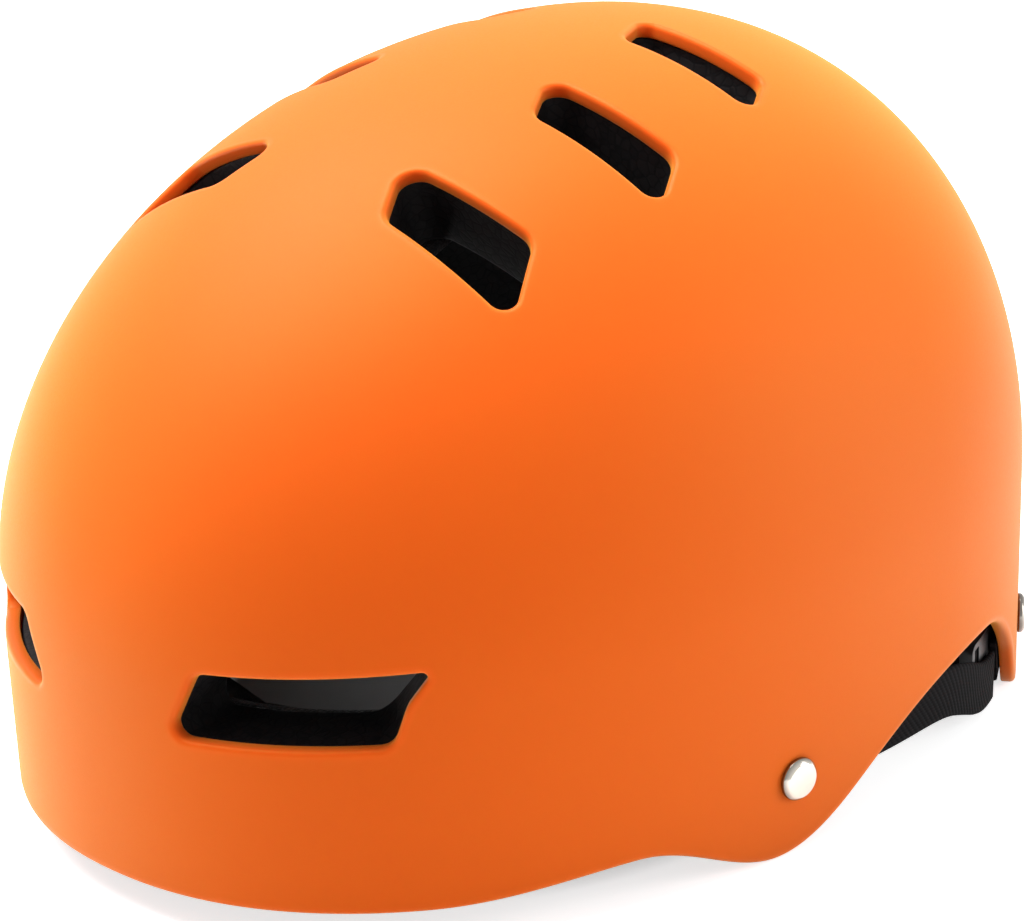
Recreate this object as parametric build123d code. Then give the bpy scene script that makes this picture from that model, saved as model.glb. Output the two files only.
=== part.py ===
from build123d import *
import os
from math import atan2, copysign, cos, degrees, pi, sin

# Skateboard helmet, sizes in millimetres.
# The front of the helmet faces -Y, the wearer's left is +X, and it rests on Z = 0.

# Outer shell: a dome on upright walls, its plan a superellipse with a long front half
shell_half_width = 108.0
front_reach = 162.0
rear_reach = 108.0
crown_height = 170.0
waist_height = 56.0
shell_wall = 3.5
plan_roundness = 2.15
side_roundness = 2.1
front_roundness = 1.95
rear_roundness = 2.4
section_point_count = 24
crown_level_count = 10

# Lower rim of the shell, seen from the side
brow_rim_height = 8.0
brow_rim_end_y = -105.0
brow_crest_y = -64.5
brow_crest_height = 11.0
lobe_y = -28.5
notch_rise_y = 4.0
notch_rise_height = 13.9
notch_rise_slope = 0.58
notch_top_y = 52.0
notch_top_height = 28.8
notch_fall_y = 72.5
notch_fall_height = 15.2
notch_fall_slope = -1.25
nape_start_y = 84.0

# Vents
vent_length = 42.0
vent_width = 16.0
vent_corner_radius = 4.0
vent_lip_radius = 1.0
front_vent_length = 55.0
front_vent_width = 16.5
front_vent_corner_radius = 2.5
front_vent_tip_radius = 0.8
front_vent_hook_radius = 9.0
front_vent_height = 54.5
rear_vent_height = 72.0
channel_growth = 1.5

# Impact foam liner
liner_gap = 0.3
liner_thickness = 20.0
liner_brow_height = 16.0
liner_arch_height = 41.0
liner_nape_height = 12.0
liner_arch_front_y = -66.0
liner_arch_rear_y = 108.0
liner_arch_lean = 26.0
liner_arch_radius = 12.0

# Comfort pads and the hook dots behind them
dot_gap = 0.3
dot_thickness = 1.3
dot_diameter = 20.0
pad_thickness = 8.0
pad_corner_radius = 9.0
brow_pad_length = 118.0
brow_pad_height = 24.0
brow_pad_center_height = 31.0
rear_pad_length = 96.0
rear_pad_height = 30.0
rear_pad_center_height = 43.0
side_pad_length = 96.0
side_pad_height = 30.0
side_pad_center_y = 18.0
side_pad_center_height = 68.0
crown_pad_length = 128.0
crown_pad_width = 32.0
crown_pad_center_y = 4.0

# Rivets and washers
rivet_head_diameter = 10.2
rivet_head_height = 2.0
rivet_head_bevel = 1.1
rivet_shank_diameter = 4.4
rivet_tail_diameter = 6.4
rivet_tail_height = 0.9
rivet_hole_clearance = 0.15
rivet_seat_gap = 0.05
washer_diameter = 11.0
washer_thickness = 1.0
washer_seat_gap = 0.25
front_rivet_y = -23.4
front_rivet_height = 18.4
rear_rivet_y = 90.0
rear_rivet_height = 15.5

# Webbing
strap_width = 13.0
strap_thickness = 1.6
strap_wall_gap = 0.3
strap_fit = 0.3
strap_bend_radius = 14.0
front_strap_end_y = 64.0
front_strap_dip_y = 58.0
front_strap_dip_height = 7.8
front_strap_lead_y = 30.0
front_strap_lead_height = 16.6
rear_strap_end_height = 9.5
rear_strap_end_y = 72.0

# Side dividers with their clamp levers
divider_front_y = 55.5
divider_rear_y = 81.0
divider_floor = 1.5
divider_height = 18.8
divider_thickness = 3.6
divider_corner_radius = 2.5
divider_slot_width = 3.4
divider_slot_y = 60.5
divider_slot_fit = 0.5
divider_ear_radius = 2.4
divider_ear_height = 3.0
divider_pin_radius = 1.0
divider_pin_fit = 0.05
divider_hinge_inset = 13.2
lever_thickness = 1.8
lever_length = 11.5
lever_side_gap = 0.35
lever_face_gap = 0.35
lever_tip_radius = 0.85

# Chin straps, keeper and chin pad
chin_height = 11.75
chin_turn_inset = 15.0
loop_stitch_length = 16.0
tail_gap = 0.5
tail_length = 46.0
tail_seam = 0.1
ladder_lead_length = 12.0
keeper_length = 6.0
keeper_wall = 1.5
keeper_position = 20.0
keeper_fit = 0.4
chin_pad_length = 30.0
chin_pad_wall = 2.6
chin_pad_position = 30.0
chin_pad_fit = 0.5
chin_pad_rim = 2.6

# Side release buckle
buckle_center_y = 44.0
buckle_width = 20.5
buckle_thickness = 8.5
buckle_wall = 1.5
buckle_corner_radius = 2.2
socket_length = 26.0
socket_mouth_x = -6.0
socket_depth = 17.0
window_start_x = 0.2
window_length = 7.8
bar_slot_length = 4.6
end_bar_length = 3.2
bar_half_thickness = 2.0
plug_gap = 0.3
plug_length = 18.0
plug_thickness = 6.4
ladder_bar_length = 3.0
prong_width = 4.0
prong_thickness = 3.4
prong_tip_length = 2.5
arm_thickness = 4.2
arm_width = 1.9
arm_inset = 0.45
barb_length = 5.6
barb_fit = 0.3
arm_root_radius = 1.3
arm_root_gap = 0.3

# One overrun serves all cuts
overrun = 5.0
vent_reach = 15.0
channel_reach = 44.0
layer_height = 45.0

center_y = (front_reach - rear_reach) / 2
liner_outer_inset = shell_wall + liner_gap
liner_inner_inset = liner_outer_inset + liner_thickness
dot_outer_inset = liner_inner_inset + dot_gap
pad_outer_inset = dot_outer_inset + dot_thickness + dot_gap
pad_inner_inset = pad_outer_inset + pad_thickness
strap_outer_inset = shell_wall + strap_wall_gap
strap_inner_inset = strap_outer_inset + strap_thickness
divider_outer_inset = strap_inner_inset + strap_wall_gap
divider_inner_inset = divider_outer_inset + divider_thickness
chin_start_inset = divider_outer_inset
half_plan = Vector(2 * shell_half_width, 2 * (front_reach + rear_reach))

# Corners of the vents as shares of the vent's length and width, from its middle,
# the first number out from the helmet's middle line and the second rearward or upward
front_top_corner_shares = ((-0.57, 0.72), (-0.40, -0.30), (0.52, -0.74), (0.32, 0.51))
middle_top_corner_shares = ((-0.55, 0.48), (-0.37, -0.43), (0.53, -0.48), (0.34, 0.48))
rear_top_corner_shares = ((-0.55, 0.36), (-0.41, -0.54), (0.49, -0.34), (0.30, 0.51))
front_vent_corner_shares = ((-0.41, 0.44), (-0.55, -0.52), (0.345, -0.48), (0.405, 0.07), (0.51, 0.53))
# Middles of the top vents as shares of the half width and of the front reach
top_vent_places_shares = (
    (0.391, -0.369, front_top_corner_shares),
    (0.431, -0.096, middle_top_corner_shares),
    (0.358, 0.180, rear_top_corner_shares),
)
front_vent_side_share = 0.445
rear_vent_side_share = 0.40


def reach_at(side, inset):
    """Half length of the plan in front of its widest line (side < 0) or behind it."""
    return (rear_reach if side > 0 else front_reach) - inset


def level_share(height, inset, roundness):
    """How much of its waist size the dome keeps at a height."""
    if height <= waist_height:
        return 1.0
    rise = (height - waist_height) / (crown_height - inset - waist_height)
    return max(0.0, 1.0 - rise**roundness) ** (1 / roundness)


def wall_x(y, inset, height=0.0):
    """Distance of the wall from the middle plane."""
    side = y - center_y
    roundness = rear_roundness if side > 0 else front_roundness
    reach = reach_at(side, inset) * level_share(height, inset, roundness)
    left = max(0.0, 1.0 - (abs(side) / reach) ** plan_roundness)
    width = (shell_half_width - inset) * level_share(height, inset, side_roundness)
    return width * left ** (1 / plan_roundness)


def wall_y(x, sign, height):
    """Place of the outer wall in front (sign -1) or behind (sign 1) at a distance x from the middle."""
    roundness = rear_roundness if sign > 0 else front_roundness
    width = shell_half_width * level_share(height, 0.0, side_roundness)
    left = max(0.0, 1.0 - (abs(x) / width) ** plan_roundness)
    reach = reach_at(sign, 0.0) * level_share(height, 0.0, roundness)
    return center_y + sign * reach * left ** (1 / plan_roundness)


def wall_normal(x, y):
    """Outward direction of the upright wall at a place on it."""
    side = y - center_y
    nx = (abs(x) / shell_half_width) ** (plan_roundness - 1) / shell_half_width
    ny = (abs(side) / reach_at(side, 0.0)) ** (plan_roundness - 1) / reach_at(side, 0.0)
    return Vector(copysign(nx, x), copysign(ny, side), 0).normalized()


def dome_height(x, y):
    """Height of the outer dome above a place in plan, found by halving."""
    low, high = waist_height, crown_height
    while high - low > crown_height / 1e6:
        middle = (low + high) / 2
        if wall_x(y, 0.0, middle) >= abs(x):
            low = middle
        else:
            high = middle
    return low


def dome_normal(x, y):
    """Outward direction of the dome at a place in plan."""
    step = shell_wall / 10
    slope_x = (dome_height(x + step, y) - dome_height(x - step, y)) / (2 * step)
    slope_y = (dome_height(x, y + step) - dome_height(x, y - step)) / (2 * step)
    return Vector(-slope_x, -slope_y, 1).normalized()


def plan_face(inset, height):
    """Plan of the dome at a height, as one closed smooth curve."""
    points = []
    for index in range(section_point_count):
        turn = 2 * pi * index / section_point_count
        across, along = cos(turn), sin(turn)
        roundness = rear_roundness if along > 0 else front_roundness
        x = (shell_half_width - inset) * level_share(height, inset, side_roundness)
        y = reach_at(along, inset) * level_share(height, inset, roundness)
        x *= copysign(abs(across) ** (2 / plan_roundness), across)
        y *= copysign(abs(along) ** (2 / plan_roundness), along)
        points.append(Vector(x, center_y + y, height))
    return Face(Wire([Edge.make_spline(points, periodic=True)]))


def skirt(inset, low, high):
    """Upright walls of the plan as a solid."""
    return extrude(plan_face(inset, low), high - low)


def dome(inset):
    """Solid dome on its upright walls, drawn in by an inset."""
    top = crown_height - inset
    levels = [pi / 2 * index / crown_level_count for index in range(crown_level_count)]
    sections = [plan_face(inset, waist_height + (top - waist_height) * sin(level)) for level in levels]
    crown = loft(sections + [Vertex(0, center_y, top)])
    return skirt(inset, -overrun, waist_height) + crown


def wall_layer(outer_inset, inner_inset, high=layer_height):
    """Upright layer that follows the inside of the shell wall."""
    return skirt(outer_inset, 0.0, high) - skirt(inner_inset, -overrun, high + overrun)


def mirrored(part):
    return mirror(part, Plane.YZ)


def side_cut(outline):
    """Cutter from a face drawn in the side view, right through the helmet."""
    return extrude(outline, half_plan.X, both=True)


def side_piece(outline):
    """Cutter from a face drawn in the side view, on the wearer's left only."""
    return extrude(outline, half_plan.X)


def rim_cutter():
    """What is cut away below the rim of the shell."""
    points = [
        (brow_rim_end_y, brow_rim_height),
        (brow_crest_y, brow_crest_height),
        (lobe_y, 0.0),
        (notch_rise_y, notch_rise_height),
        (notch_top_y, notch_top_height),
        (notch_fall_y, notch_fall_height),
        (nape_start_y, 0.0),
    ]
    slopes = [(1, 0), (1, 0), (1, 0), (1, notch_rise_slope), (1, 0), (1, notch_fall_slope), (1, 0)]
    rim = Curve()
    for index in range(len(points) - 1):
        rim += Spline(points[index], points[index + 1], tangents=(slopes[index], slopes[index + 1]))
    front_y = -half_plan.Y
    rear_y = half_plan.Y
    rim += Line((front_y, brow_rim_height), points[0])
    rim += Polyline(
        points[-1], (rear_y, 0.0), (rear_y, -2 * overrun), (front_y, -2 * overrun), (front_y, brow_rim_height)
    )
    return side_cut(Plane.YZ * make_face(rim))


def vent_outline(shares, length, width, radii, growth=0.0):
    """Rounded outline of a vent in its own plane."""
    corners = [(share_u * length, share_v * width) for share_u, share_v in shares]
    outline = make_face(FilletPolyline(*corners, radius=radii, close=True))
    if growth:
        outline = offset(outline, growth)
    return outline


def vent_cutters(growth, reach):
    """Cutters of the vents on the wearer's left, grown for the channels in the liner."""
    cutters = []
    top_radii = [vent_corner_radius] * 4
    for share_x, share_y, shares in top_vent_places_shares:
        x, y = share_x * shell_half_width, share_y * front_reach
        normal = dome_normal(x, y)
        rearward = Vector(0, normal.Z, -normal.Y).normalized()
        above = Vector(x, y, dome_height(x, y)) + normal * vent_reach
        place = Plane(origin=above, x_dir=rearward.cross(normal), z_dir=normal)
        outline = vent_outline(shares, vent_length, vent_width, top_radii, growth)
        cutters.append(extrude(place * outline, -reach - vent_reach))
    radii = [front_vent_corner_radius] * 3 + [front_vent_hook_radius, front_vent_tip_radius]
    for sign, side_share, height in (
        (-1, front_vent_side_share, front_vent_height),
        (1, rear_vent_side_share, rear_vent_height),
    ):
        x = side_share * shell_half_width
        y = wall_y(x, sign, height)
        normal = wall_normal(x, y)
        outside = Vector(x, y, height) + normal * vent_reach
        place = Plane(origin=outside, x_dir=Vector(-normal.Y, normal.X, 0), z_dir=normal)
        shares = front_vent_corner_shares
        if sign > 0:
            shares = [(-share_u, share_v) for share_u, share_v in reversed(shares)]
            radii = list(reversed(radii))
        outline = vent_outline(shares, front_vent_length, front_vent_width, radii, growth)
        cutters.append(extrude(place * outline, -reach - vent_reach))
    return cutters


def rivet_places():
    """Name, place on the outer wall and outward direction of the rivets on the wearer's left."""
    places = []
    for name, y, height in (
        ("front", front_rivet_y, front_rivet_height),
        ("rear", rear_rivet_y, rear_rivet_height),
    ):
        x = wall_x(y, 0.0)
        places.append((name, Vector(x, y, height), wall_normal(x, y)))
    return places


def rivet_plane(place, normal, inset=0.0):
    return Plane(origin=place - normal * inset, z_dir=normal)


def rivet_drill():
    """Holes for the rivet shanks through shell and webbing."""
    radius = rivet_shank_diameter / 2 + rivet_hole_clearance
    drills = [
        rivet_plane(place, normal) * Cylinder(radius, 2 * strap_inner_inset + 2 * overrun)
        for name, place, normal in rivet_places()
    ]
    return drills


def off_dome(point):
    """Distance of a point from the shell's outer face, across the helmet or above it."""
    if point.Z < 2 * waist_height:
        return abs(point.X - wall_x(point.Y, 0.0, point.Z))
    return abs(point.Z - dome_height(point.X, point.Y))


def vent_lips(half):
    """Outer edges of the vents, apart from the seams that the dome's own faces meet in."""
    lips = []
    for edge in half.edges():
        places = [edge.position_at(share) for share in (0.25, 0.5, 0.75)]
        seam = edge.length > front_vent_length or max(abs(place.Z - waist_height) for place in places) < overrun / 10
        inner = min(place.X for place in places) < overrun
        low = min(place.Z for place in places) < notch_top_height + overrun
        if not (seam or inner or low) and max(off_dome(place) for place in places) < overrun / 10:
            lips.append(edge)
    return lips


def vented_dome(outer_inset, inner_inset, floor_cutter, cutters, lip_radius=0.0):
    """Open dome cut on the wearer's left and mirrored to the other side."""
    whole = dome(outer_inset) - dome(inner_inset) - floor_cutter
    size = half_plan.Y
    left = Pos(size / 2, 0, 0) * Box(size, 2 * size, 2 * size)
    half = (whole & left) - cutters
    if lip_radius:
        half = fillet(vent_lips(half), lip_radius)
    return half + mirrored(half)


def make_outer_shell():
    cutters = vent_cutters(0.0, vent_reach) + rivet_drill()
    return vented_dome(0.0, shell_wall, rim_cutter(), cutters, vent_lip_radius)


def liner_floor_cutter():
    """What is cut away below the liner: brow, ear arch and nape."""
    front_y, rear_y = -half_plan.Y, half_plan.Y
    edge = FilletPolyline(
        (front_y, liner_brow_height),
        (liner_arch_front_y, liner_brow_height),
        (liner_arch_front_y + liner_arch_lean, liner_arch_height),
        (liner_arch_rear_y - liner_arch_lean / 2, liner_arch_height),
        (liner_arch_rear_y, liner_nape_height),
        (rear_y, liner_nape_height),
        radius=liner_arch_radius,
    )
    closing = Polyline(
        (rear_y, liner_nape_height), (rear_y, -2 * overrun), (front_y, -2 * overrun), (front_y, liner_brow_height)
    )
    return side_cut(Plane.YZ * make_face(edge + closing))


def make_foam_liner():
    cutters = vent_cutters(channel_growth, channel_reach)
    return vented_dome(liner_outer_inset, liner_inner_inset, liner_floor_cutter(), cutters)


def pad_prisms():
    """Name, cutter, and the places of the hook dots of each pad."""
    prisms = []
    brow = Pos(0, brow_pad_center_height) * RectangleRounded(brow_pad_length, brow_pad_height, pad_corner_radius)
    prisms.append(("brow_pad", extrude(Plane.XZ * brow, half_plan.Y)))
    nape = Pos(0, rear_pad_center_height) * RectangleRounded(rear_pad_length, rear_pad_height, pad_corner_radius)
    prisms.append(("rear_pad", extrude(Plane.XZ * nape, -half_plan.Y)))
    side = Pos(side_pad_center_y, side_pad_center_height) * RectangleRounded(
        side_pad_length, side_pad_height, pad_corner_radius
    )
    left = side_piece(Plane.YZ * side)
    prisms.append(("side_pad_left", left))
    prisms.append(("side_pad_right", mirrored(left)))
    crown = Pos(0, crown_pad_center_y, shell_half_width) * RectangleRounded(
        crown_pad_width, crown_pad_length, crown_pad_width / 2 - dot_thickness
    )
    prisms.append(("crown_pad", extrude(crown, half_plan.X)))
    return prisms


def dot_prisms():
    """Cutters for the hook dots, two behind each pad."""
    radius = dot_diameter / 2
    dots = []
    for sign in (-1, 1):
        x = sign * brow_pad_length / 4
        dots.append(extrude(Plane.XZ * Pos(x, brow_pad_center_height) * Circle(radius), half_plan.Y))
        x = sign * rear_pad_length / 4
        dots.append(extrude(Plane.XZ * Pos(x, rear_pad_center_height) * Circle(radius), -half_plan.Y))
        y = crown_pad_center_y + sign * crown_pad_length / 4
        dots.append(extrude(Pos(0, y, shell_half_width) * Circle(radius), half_plan.X))
        y = side_pad_center_y + sign * side_pad_length / 4
        left = side_piece(Plane.YZ * Pos(y, side_pad_center_height) * Circle(radius))
        dots.append(left)
        dots.append(mirrored(left))
    return dots


def make_pads():
    layer = dome(pad_outer_inset) - dome(pad_inner_inset)
    return {name: layer & prism for name, prism in pad_prisms()}


def make_hook_dots():
    layer = dome(dot_outer_inset) - dome(dot_outer_inset + dot_thickness)
    return layer & Part(dot_prisms())


def make_rivet(place, normal):
    """Flat headed rivet: head outside, shank through shell and webbing, rolled tail inside."""
    head_base = rivet_seat_gap
    head_top = head_base + rivet_head_height
    tail_top = -(strap_inner_inset + 2 * washer_seat_gap + washer_thickness)
    head_radius = rivet_head_diameter / 2
    shank_radius = rivet_shank_diameter / 2
    tail_radius = rivet_tail_diameter / 2
    profile = Polyline(
        (0, head_top),
        (head_radius - rivet_head_bevel, head_top),
        (head_radius, head_top - rivet_head_bevel),
        (head_radius, head_base),
        (shank_radius, head_base),
        (shank_radius, tail_top),
        (tail_radius, tail_top),
        (tail_radius - rivet_tail_height / 2, tail_top - rivet_tail_height),
        (0, tail_top - rivet_tail_height),
        (0, head_top),
    )
    rivet = revolve(Plane.XZ * make_face(profile), Axis.Z)
    return rivet_plane(place, normal) * rivet


def make_washer(place, normal):
    ring = Circle(washer_diameter / 2) - Circle(rivet_shank_diameter / 2 + rivet_hole_clearance)
    top = strap_inner_inset + washer_seat_gap
    return rivet_plane(place, normal, top + washer_thickness) * extrude(ring, washer_thickness)


def make_wall_straps():
    """Front and rear strap on the wearer's left: webbing that lies along the inside of the shell wall."""
    layer = wall_layer(strap_outer_inset, strap_inner_inset)
    half = strap_width / 2
    front_line = FilletPolyline(
        (front_rivet_y, front_rivet_height),
        (front_strap_lead_y, front_strap_lead_height),
        (front_strap_dip_y, front_strap_dip_height),
        (front_strap_end_y, front_strap_dip_height),
        radius=strap_bend_radius,
    )
    front = Sketch() + trace(front_line, strap_width)
    front += Pos(front_rivet_y, front_rivet_height) * Circle(half)
    rear_line = Line((rear_rivet_y, rear_rivet_height), (rear_strap_end_y, rear_strap_end_height))
    rear = Sketch() + trace(rear_line, strap_width)
    rear += Pos(rear_rivet_y, rear_rivet_height) * Circle(half)
    straps = {}
    for (name, place, normal), outline, drill in zip(rivet_places(), (front, rear), rivet_drill()):
        straps[name] = (layer & side_piece(Plane.YZ * outline)) - drill
    return straps


def divider_hinge():
    """Plan place of the lever's pin."""
    y = divider_rear_y
    normal = wall_normal(wall_x(y, 0.0), y)
    return Vector(wall_x(y, 0.0), y, 0) - normal * divider_hinge_inset


def lever_direction():
    """Plan direction of the closed lever, from its pin forward along the base."""
    hinge = divider_hinge()
    y = hinge.Y - lever_length
    inset = divider_inner_inset + lever_face_gap + lever_thickness / 2
    tip_x = wall_x(y, inset)
    return Vector(tip_x - hinge.X, y - hinge.Y, 0).normalized()


def make_divider():
    """Base, pin and lever of the divider on the wearer's left."""
    floor, top = divider_floor, divider_floor + divider_height
    middle_y = (divider_front_y + divider_rear_y) / 2
    outline = Pos(middle_y, (floor + top) / 2) * RectangleRounded(
        divider_rear_y - divider_front_y, divider_height, divider_corner_radius
    )
    base = wall_layer(divider_outer_inset, divider_inner_inset) & side_piece(Plane.YZ * outline)
    start, turn, end = chin_points()
    slot = trace(Line((start.X, start.Y), (turn.X, turn.Y)), divider_slot_width)
    base -= band_solid(slot, strap_width + 2 * divider_slot_fit)
    hinge = divider_hinge()
    axis = Pos(hinge.X, hinge.Y, 0)
    foot_length = divider_hinge_inset - divider_outer_inset
    normal = wall_normal(wall_x(hinge.Y, 0.0), hinge.Y)
    foot_turn = degrees(atan2(normal.Y, normal.X))
    foot = Rot(0, 0, foot_turn) * Pos(foot_length / 2, 0) * Rectangle(foot_length, 2 * divider_ear_radius)
    ear = Circle(divider_ear_radius) + foot
    keep = skirt(divider_outer_inset, floor, top)
    for low in (floor, top - divider_ear_height):
        base += keep & (axis * Pos(0, 0, low) * extrude(ear, divider_ear_height))
    bore = divider_pin_radius + divider_pin_fit
    base -= axis * Pos(0, 0, floor) * Cylinder(bore, 4 * divider_height)
    pin_length = divider_height - divider_ear_height / 2
    pin = axis * Pos(0, 0, (floor + top) / 2) * Cylinder(divider_pin_radius, pin_length)

    barrel_low = floor + divider_ear_height + lever_side_gap
    barrel_height = divider_height - 2 * (divider_ear_height + lever_side_gap)
    forward = lever_direction()
    turn = degrees(atan2(forward.Y, forward.X))
    plate = Pos(lever_length / 2, 0) * Rectangle(lever_length, lever_thickness)
    plate += Pos(lever_length, 0) * Circle(lever_tip_radius)
    lever = extrude(Rot(0, 0, turn) * (Circle(divider_ear_radius) + plate), barrel_height)
    lever = axis * Pos(0, 0, barrel_low) * lever
    lever -= axis * Cylinder(bore, 4 * divider_height)
    return base, pin, lever


def chin_points():
    """Start, turn and buckle end of the chin strap's middle line on the wearer's left."""
    y = divider_slot_y
    start_x = wall_x(y, 0.0)
    normal = wall_normal(start_x, y)
    wall = Vector(start_x, y, 0)
    start = wall - normal * chin_start_inset
    turn = wall - normal * chin_turn_inset
    end = Vector(socket_mouth_x + socket_length + strap_fit + strap_thickness, buckle_center_y, 0)
    return start, turn, end


def chin_arc():
    """Centre and radius of the arc that the chin strap takes to the buckle, in plan."""
    start, turn, end = chin_points()
    away = turn - end
    radius = (away.X**2 + away.Y**2) / (2 * away.Y)
    return Vector(end.X, end.Y + radius, 0), radius


def arc_band(middle_radius, thickness, start_length, end_length):
    """Plan band on the chin strap's arc, from one length to another along it, counted from the buckle."""
    center, radius = chin_arc()
    first = -90 + degrees(start_length / radius)
    last = -90 + degrees(end_length / radius)
    line = CenterArc((center.X, center.Y), middle_radius, first, last - first)
    return Sketch() + trace(line, thickness)


def chin_arc_length():
    start, turn, end = chin_points()
    center, radius = chin_arc()
    return radius * (atan2(turn.Y - center.Y, turn.X - center.X) + pi / 2)


def band_solid(face, height):
    return Pos(0, 0, chin_height - height / 2) * extrude(face, height)


def bar_loop(bar_start, bar_length):
    """Webbing wound round a buckle bar, in plan, bar running from bar_start outward."""
    inner_length = bar_length + 2 * strap_fit
    inner_width = 2 * (bar_half_thickness + strap_fit)
    outer_length = inner_length + 2 * strap_thickness
    outer_width = inner_width + 2 * strap_thickness
    middle = Pos(bar_start + bar_length / 2, buckle_center_y)
    ring = RectangleRounded(outer_length, outer_width, strap_thickness)
    ring -= RectangleRounded(inner_length, inner_width, strap_thickness / 3)
    return middle * ring


def make_chin_strap():
    """Chin strap on the wearer's left, from the divider to the loop on the socket's end bar."""
    start, turn, end = chin_points()
    center, radius = chin_arc()
    band = arc_band(radius, strap_thickness, 0.0, chin_arc_length())
    band += trace(Line((start.X, start.Y), (turn.X, turn.Y)), strap_thickness)
    band += Pos(turn.X, turn.Y) * Circle(strap_thickness / 2)
    band += arc_band(radius, 2 * strap_thickness, 0.0, loop_stitch_length)
    band += bar_loop(socket_mouth_x + socket_length - end_bar_length, end_bar_length)
    return band_solid(band, strap_width)


def arc_point(radius, length):
    """Plan point on an arc beside the chin strap, a length along the strap from the buckle."""
    center, strap_radius = chin_arc()
    turn = length / strap_radius
    return (center.X + radius * sin(turn), center.Y - radius * cos(turn))


def make_adjusted_strap():
    """Chin strap wound round the plug's ladder bar and its free tail, drawn on the wearer's left."""
    start, turn, end = chin_points()
    center, radius = chin_arc()
    tail_radius = radius - strap_thickness - tail_gap
    back = plug_length + plug_gap - socket_mouth_x
    bar_end = back - end_bar_length - bar_slot_length
    side = bar_half_thickness + strap_fit + strap_thickness / 2
    strap = arc_band(radius, strap_thickness, ladder_lead_length, chin_arc_length())
    strap += trace(Line((start.X, start.Y), (turn.X, turn.Y)), strap_thickness)
    strap += Pos(turn.X, turn.Y) * Circle(strap_thickness / 2)
    strap += bar_loop(bar_end - ladder_bar_length, ladder_bar_length)
    front_y, rear_y = buckle_center_y - side, buckle_center_y + side
    lead = arc_point(radius, ladder_lead_length)
    strap += trace(Polyline((bar_end, front_y), (back + strap_fit, front_y), lead), strap_thickness)
    strap += Pos(*lead) * Circle(strap_thickness / 2)
    lead = arc_point(tail_radius, ladder_lead_length)
    loop_end = bar_end + strap_fit + strap_thickness + tail_seam
    tail = arc_band(tail_radius, strap_thickness, ladder_lead_length, tail_length)
    tail += trace(Polyline((loop_end, rear_y), (back + strap_fit, rear_y), lead), strap_thickness)
    tail += Pos(*lead) * Circle(strap_thickness / 2)
    return band_solid(strap, strap_width), band_solid(tail, strap_width)


def make_strap_keeper():
    """Rubber loop that holds the strap and its tail together."""
    center, radius = chin_arc()
    stack = 2 * strap_thickness + tail_gap
    middle_radius = radius - stack / 2 + strap_thickness / 2
    inside = stack + 2 * keeper_fit
    rim = keeper_wall + keeper_fit
    outer = arc_band(middle_radius, inside + 2 * keeper_wall, keeper_position, keeper_position + keeper_length)
    inner = arc_band(middle_radius, inside, 0.0, keeper_position + keeper_length + overrun)
    return band_solid(outer, strap_width + 2 * rim) - band_solid(inner, strap_width + 2 * keeper_fit)


def make_chin_pad():
    center, radius = chin_arc()
    inside = strap_thickness + 2 * chin_pad_fit
    rim = chin_pad_rim + chin_pad_fit
    outer = arc_band(radius, inside + 2 * chin_pad_wall, chin_pad_position, chin_pad_position + chin_pad_length)
    inner = arc_band(
        radius, inside, chin_pad_position - overrun, chin_pad_position + chin_pad_length + overrun
    )
    return band_solid(outer, strap_width + 2 * rim) - band_solid(inner, strap_width + 2 * chin_pad_fit)


def buckle_box(first_x, last_x, width, thickness, radius=0.0):
    """Block of the buckle between two places along it, width upright."""
    length = last_x - first_x
    face = RectangleRounded(length, width, radius) if radius else Rectangle(length, width)
    block = extrude(Plane.XZ * face, thickness / 2, both=True)
    return Pos((first_x + last_x) / 2, buckle_center_y, chin_height) * block


def make_buckle_socket():
    """Female half: hollow with side windows for the barbs and an end bar for the webbing."""
    end_x = socket_mouth_x + socket_length
    inner_width = buckle_width - 2 * buckle_wall
    inner_thickness = buckle_thickness - 2 * buckle_wall
    body = buckle_box(socket_mouth_x, end_x, buckle_width, buckle_thickness, buckle_corner_radius)
    body -= buckle_box(socket_mouth_x - overrun, socket_mouth_x + socket_depth, inner_width, inner_thickness)
    body -= buckle_box(
        window_start_x, window_start_x + window_length, buckle_width + overrun, inner_thickness
    )
    bar_x = end_x - end_bar_length
    slot_width = strap_width + 2 * strap_fit
    body -= buckle_box(bar_x - bar_slot_length, bar_x, slot_width, buckle_thickness + overrun)
    for sign in (-1, 1):
        side = sign * (bar_half_thickness + buckle_thickness / 2)
        trim = buckle_box(bar_x - bar_slot_length, end_x + overrun, slot_width, buckle_thickness)
        body -= Pos(0, side, 0) * trim
    return body


def arm_axis():
    """Place along and across the buckle of the latch arms' flex axis."""
    inner_half = buckle_width / 2 - buckle_wall
    return socket_mouth_x - plug_gap, inner_half - arm_inset - arm_width / 2


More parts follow.
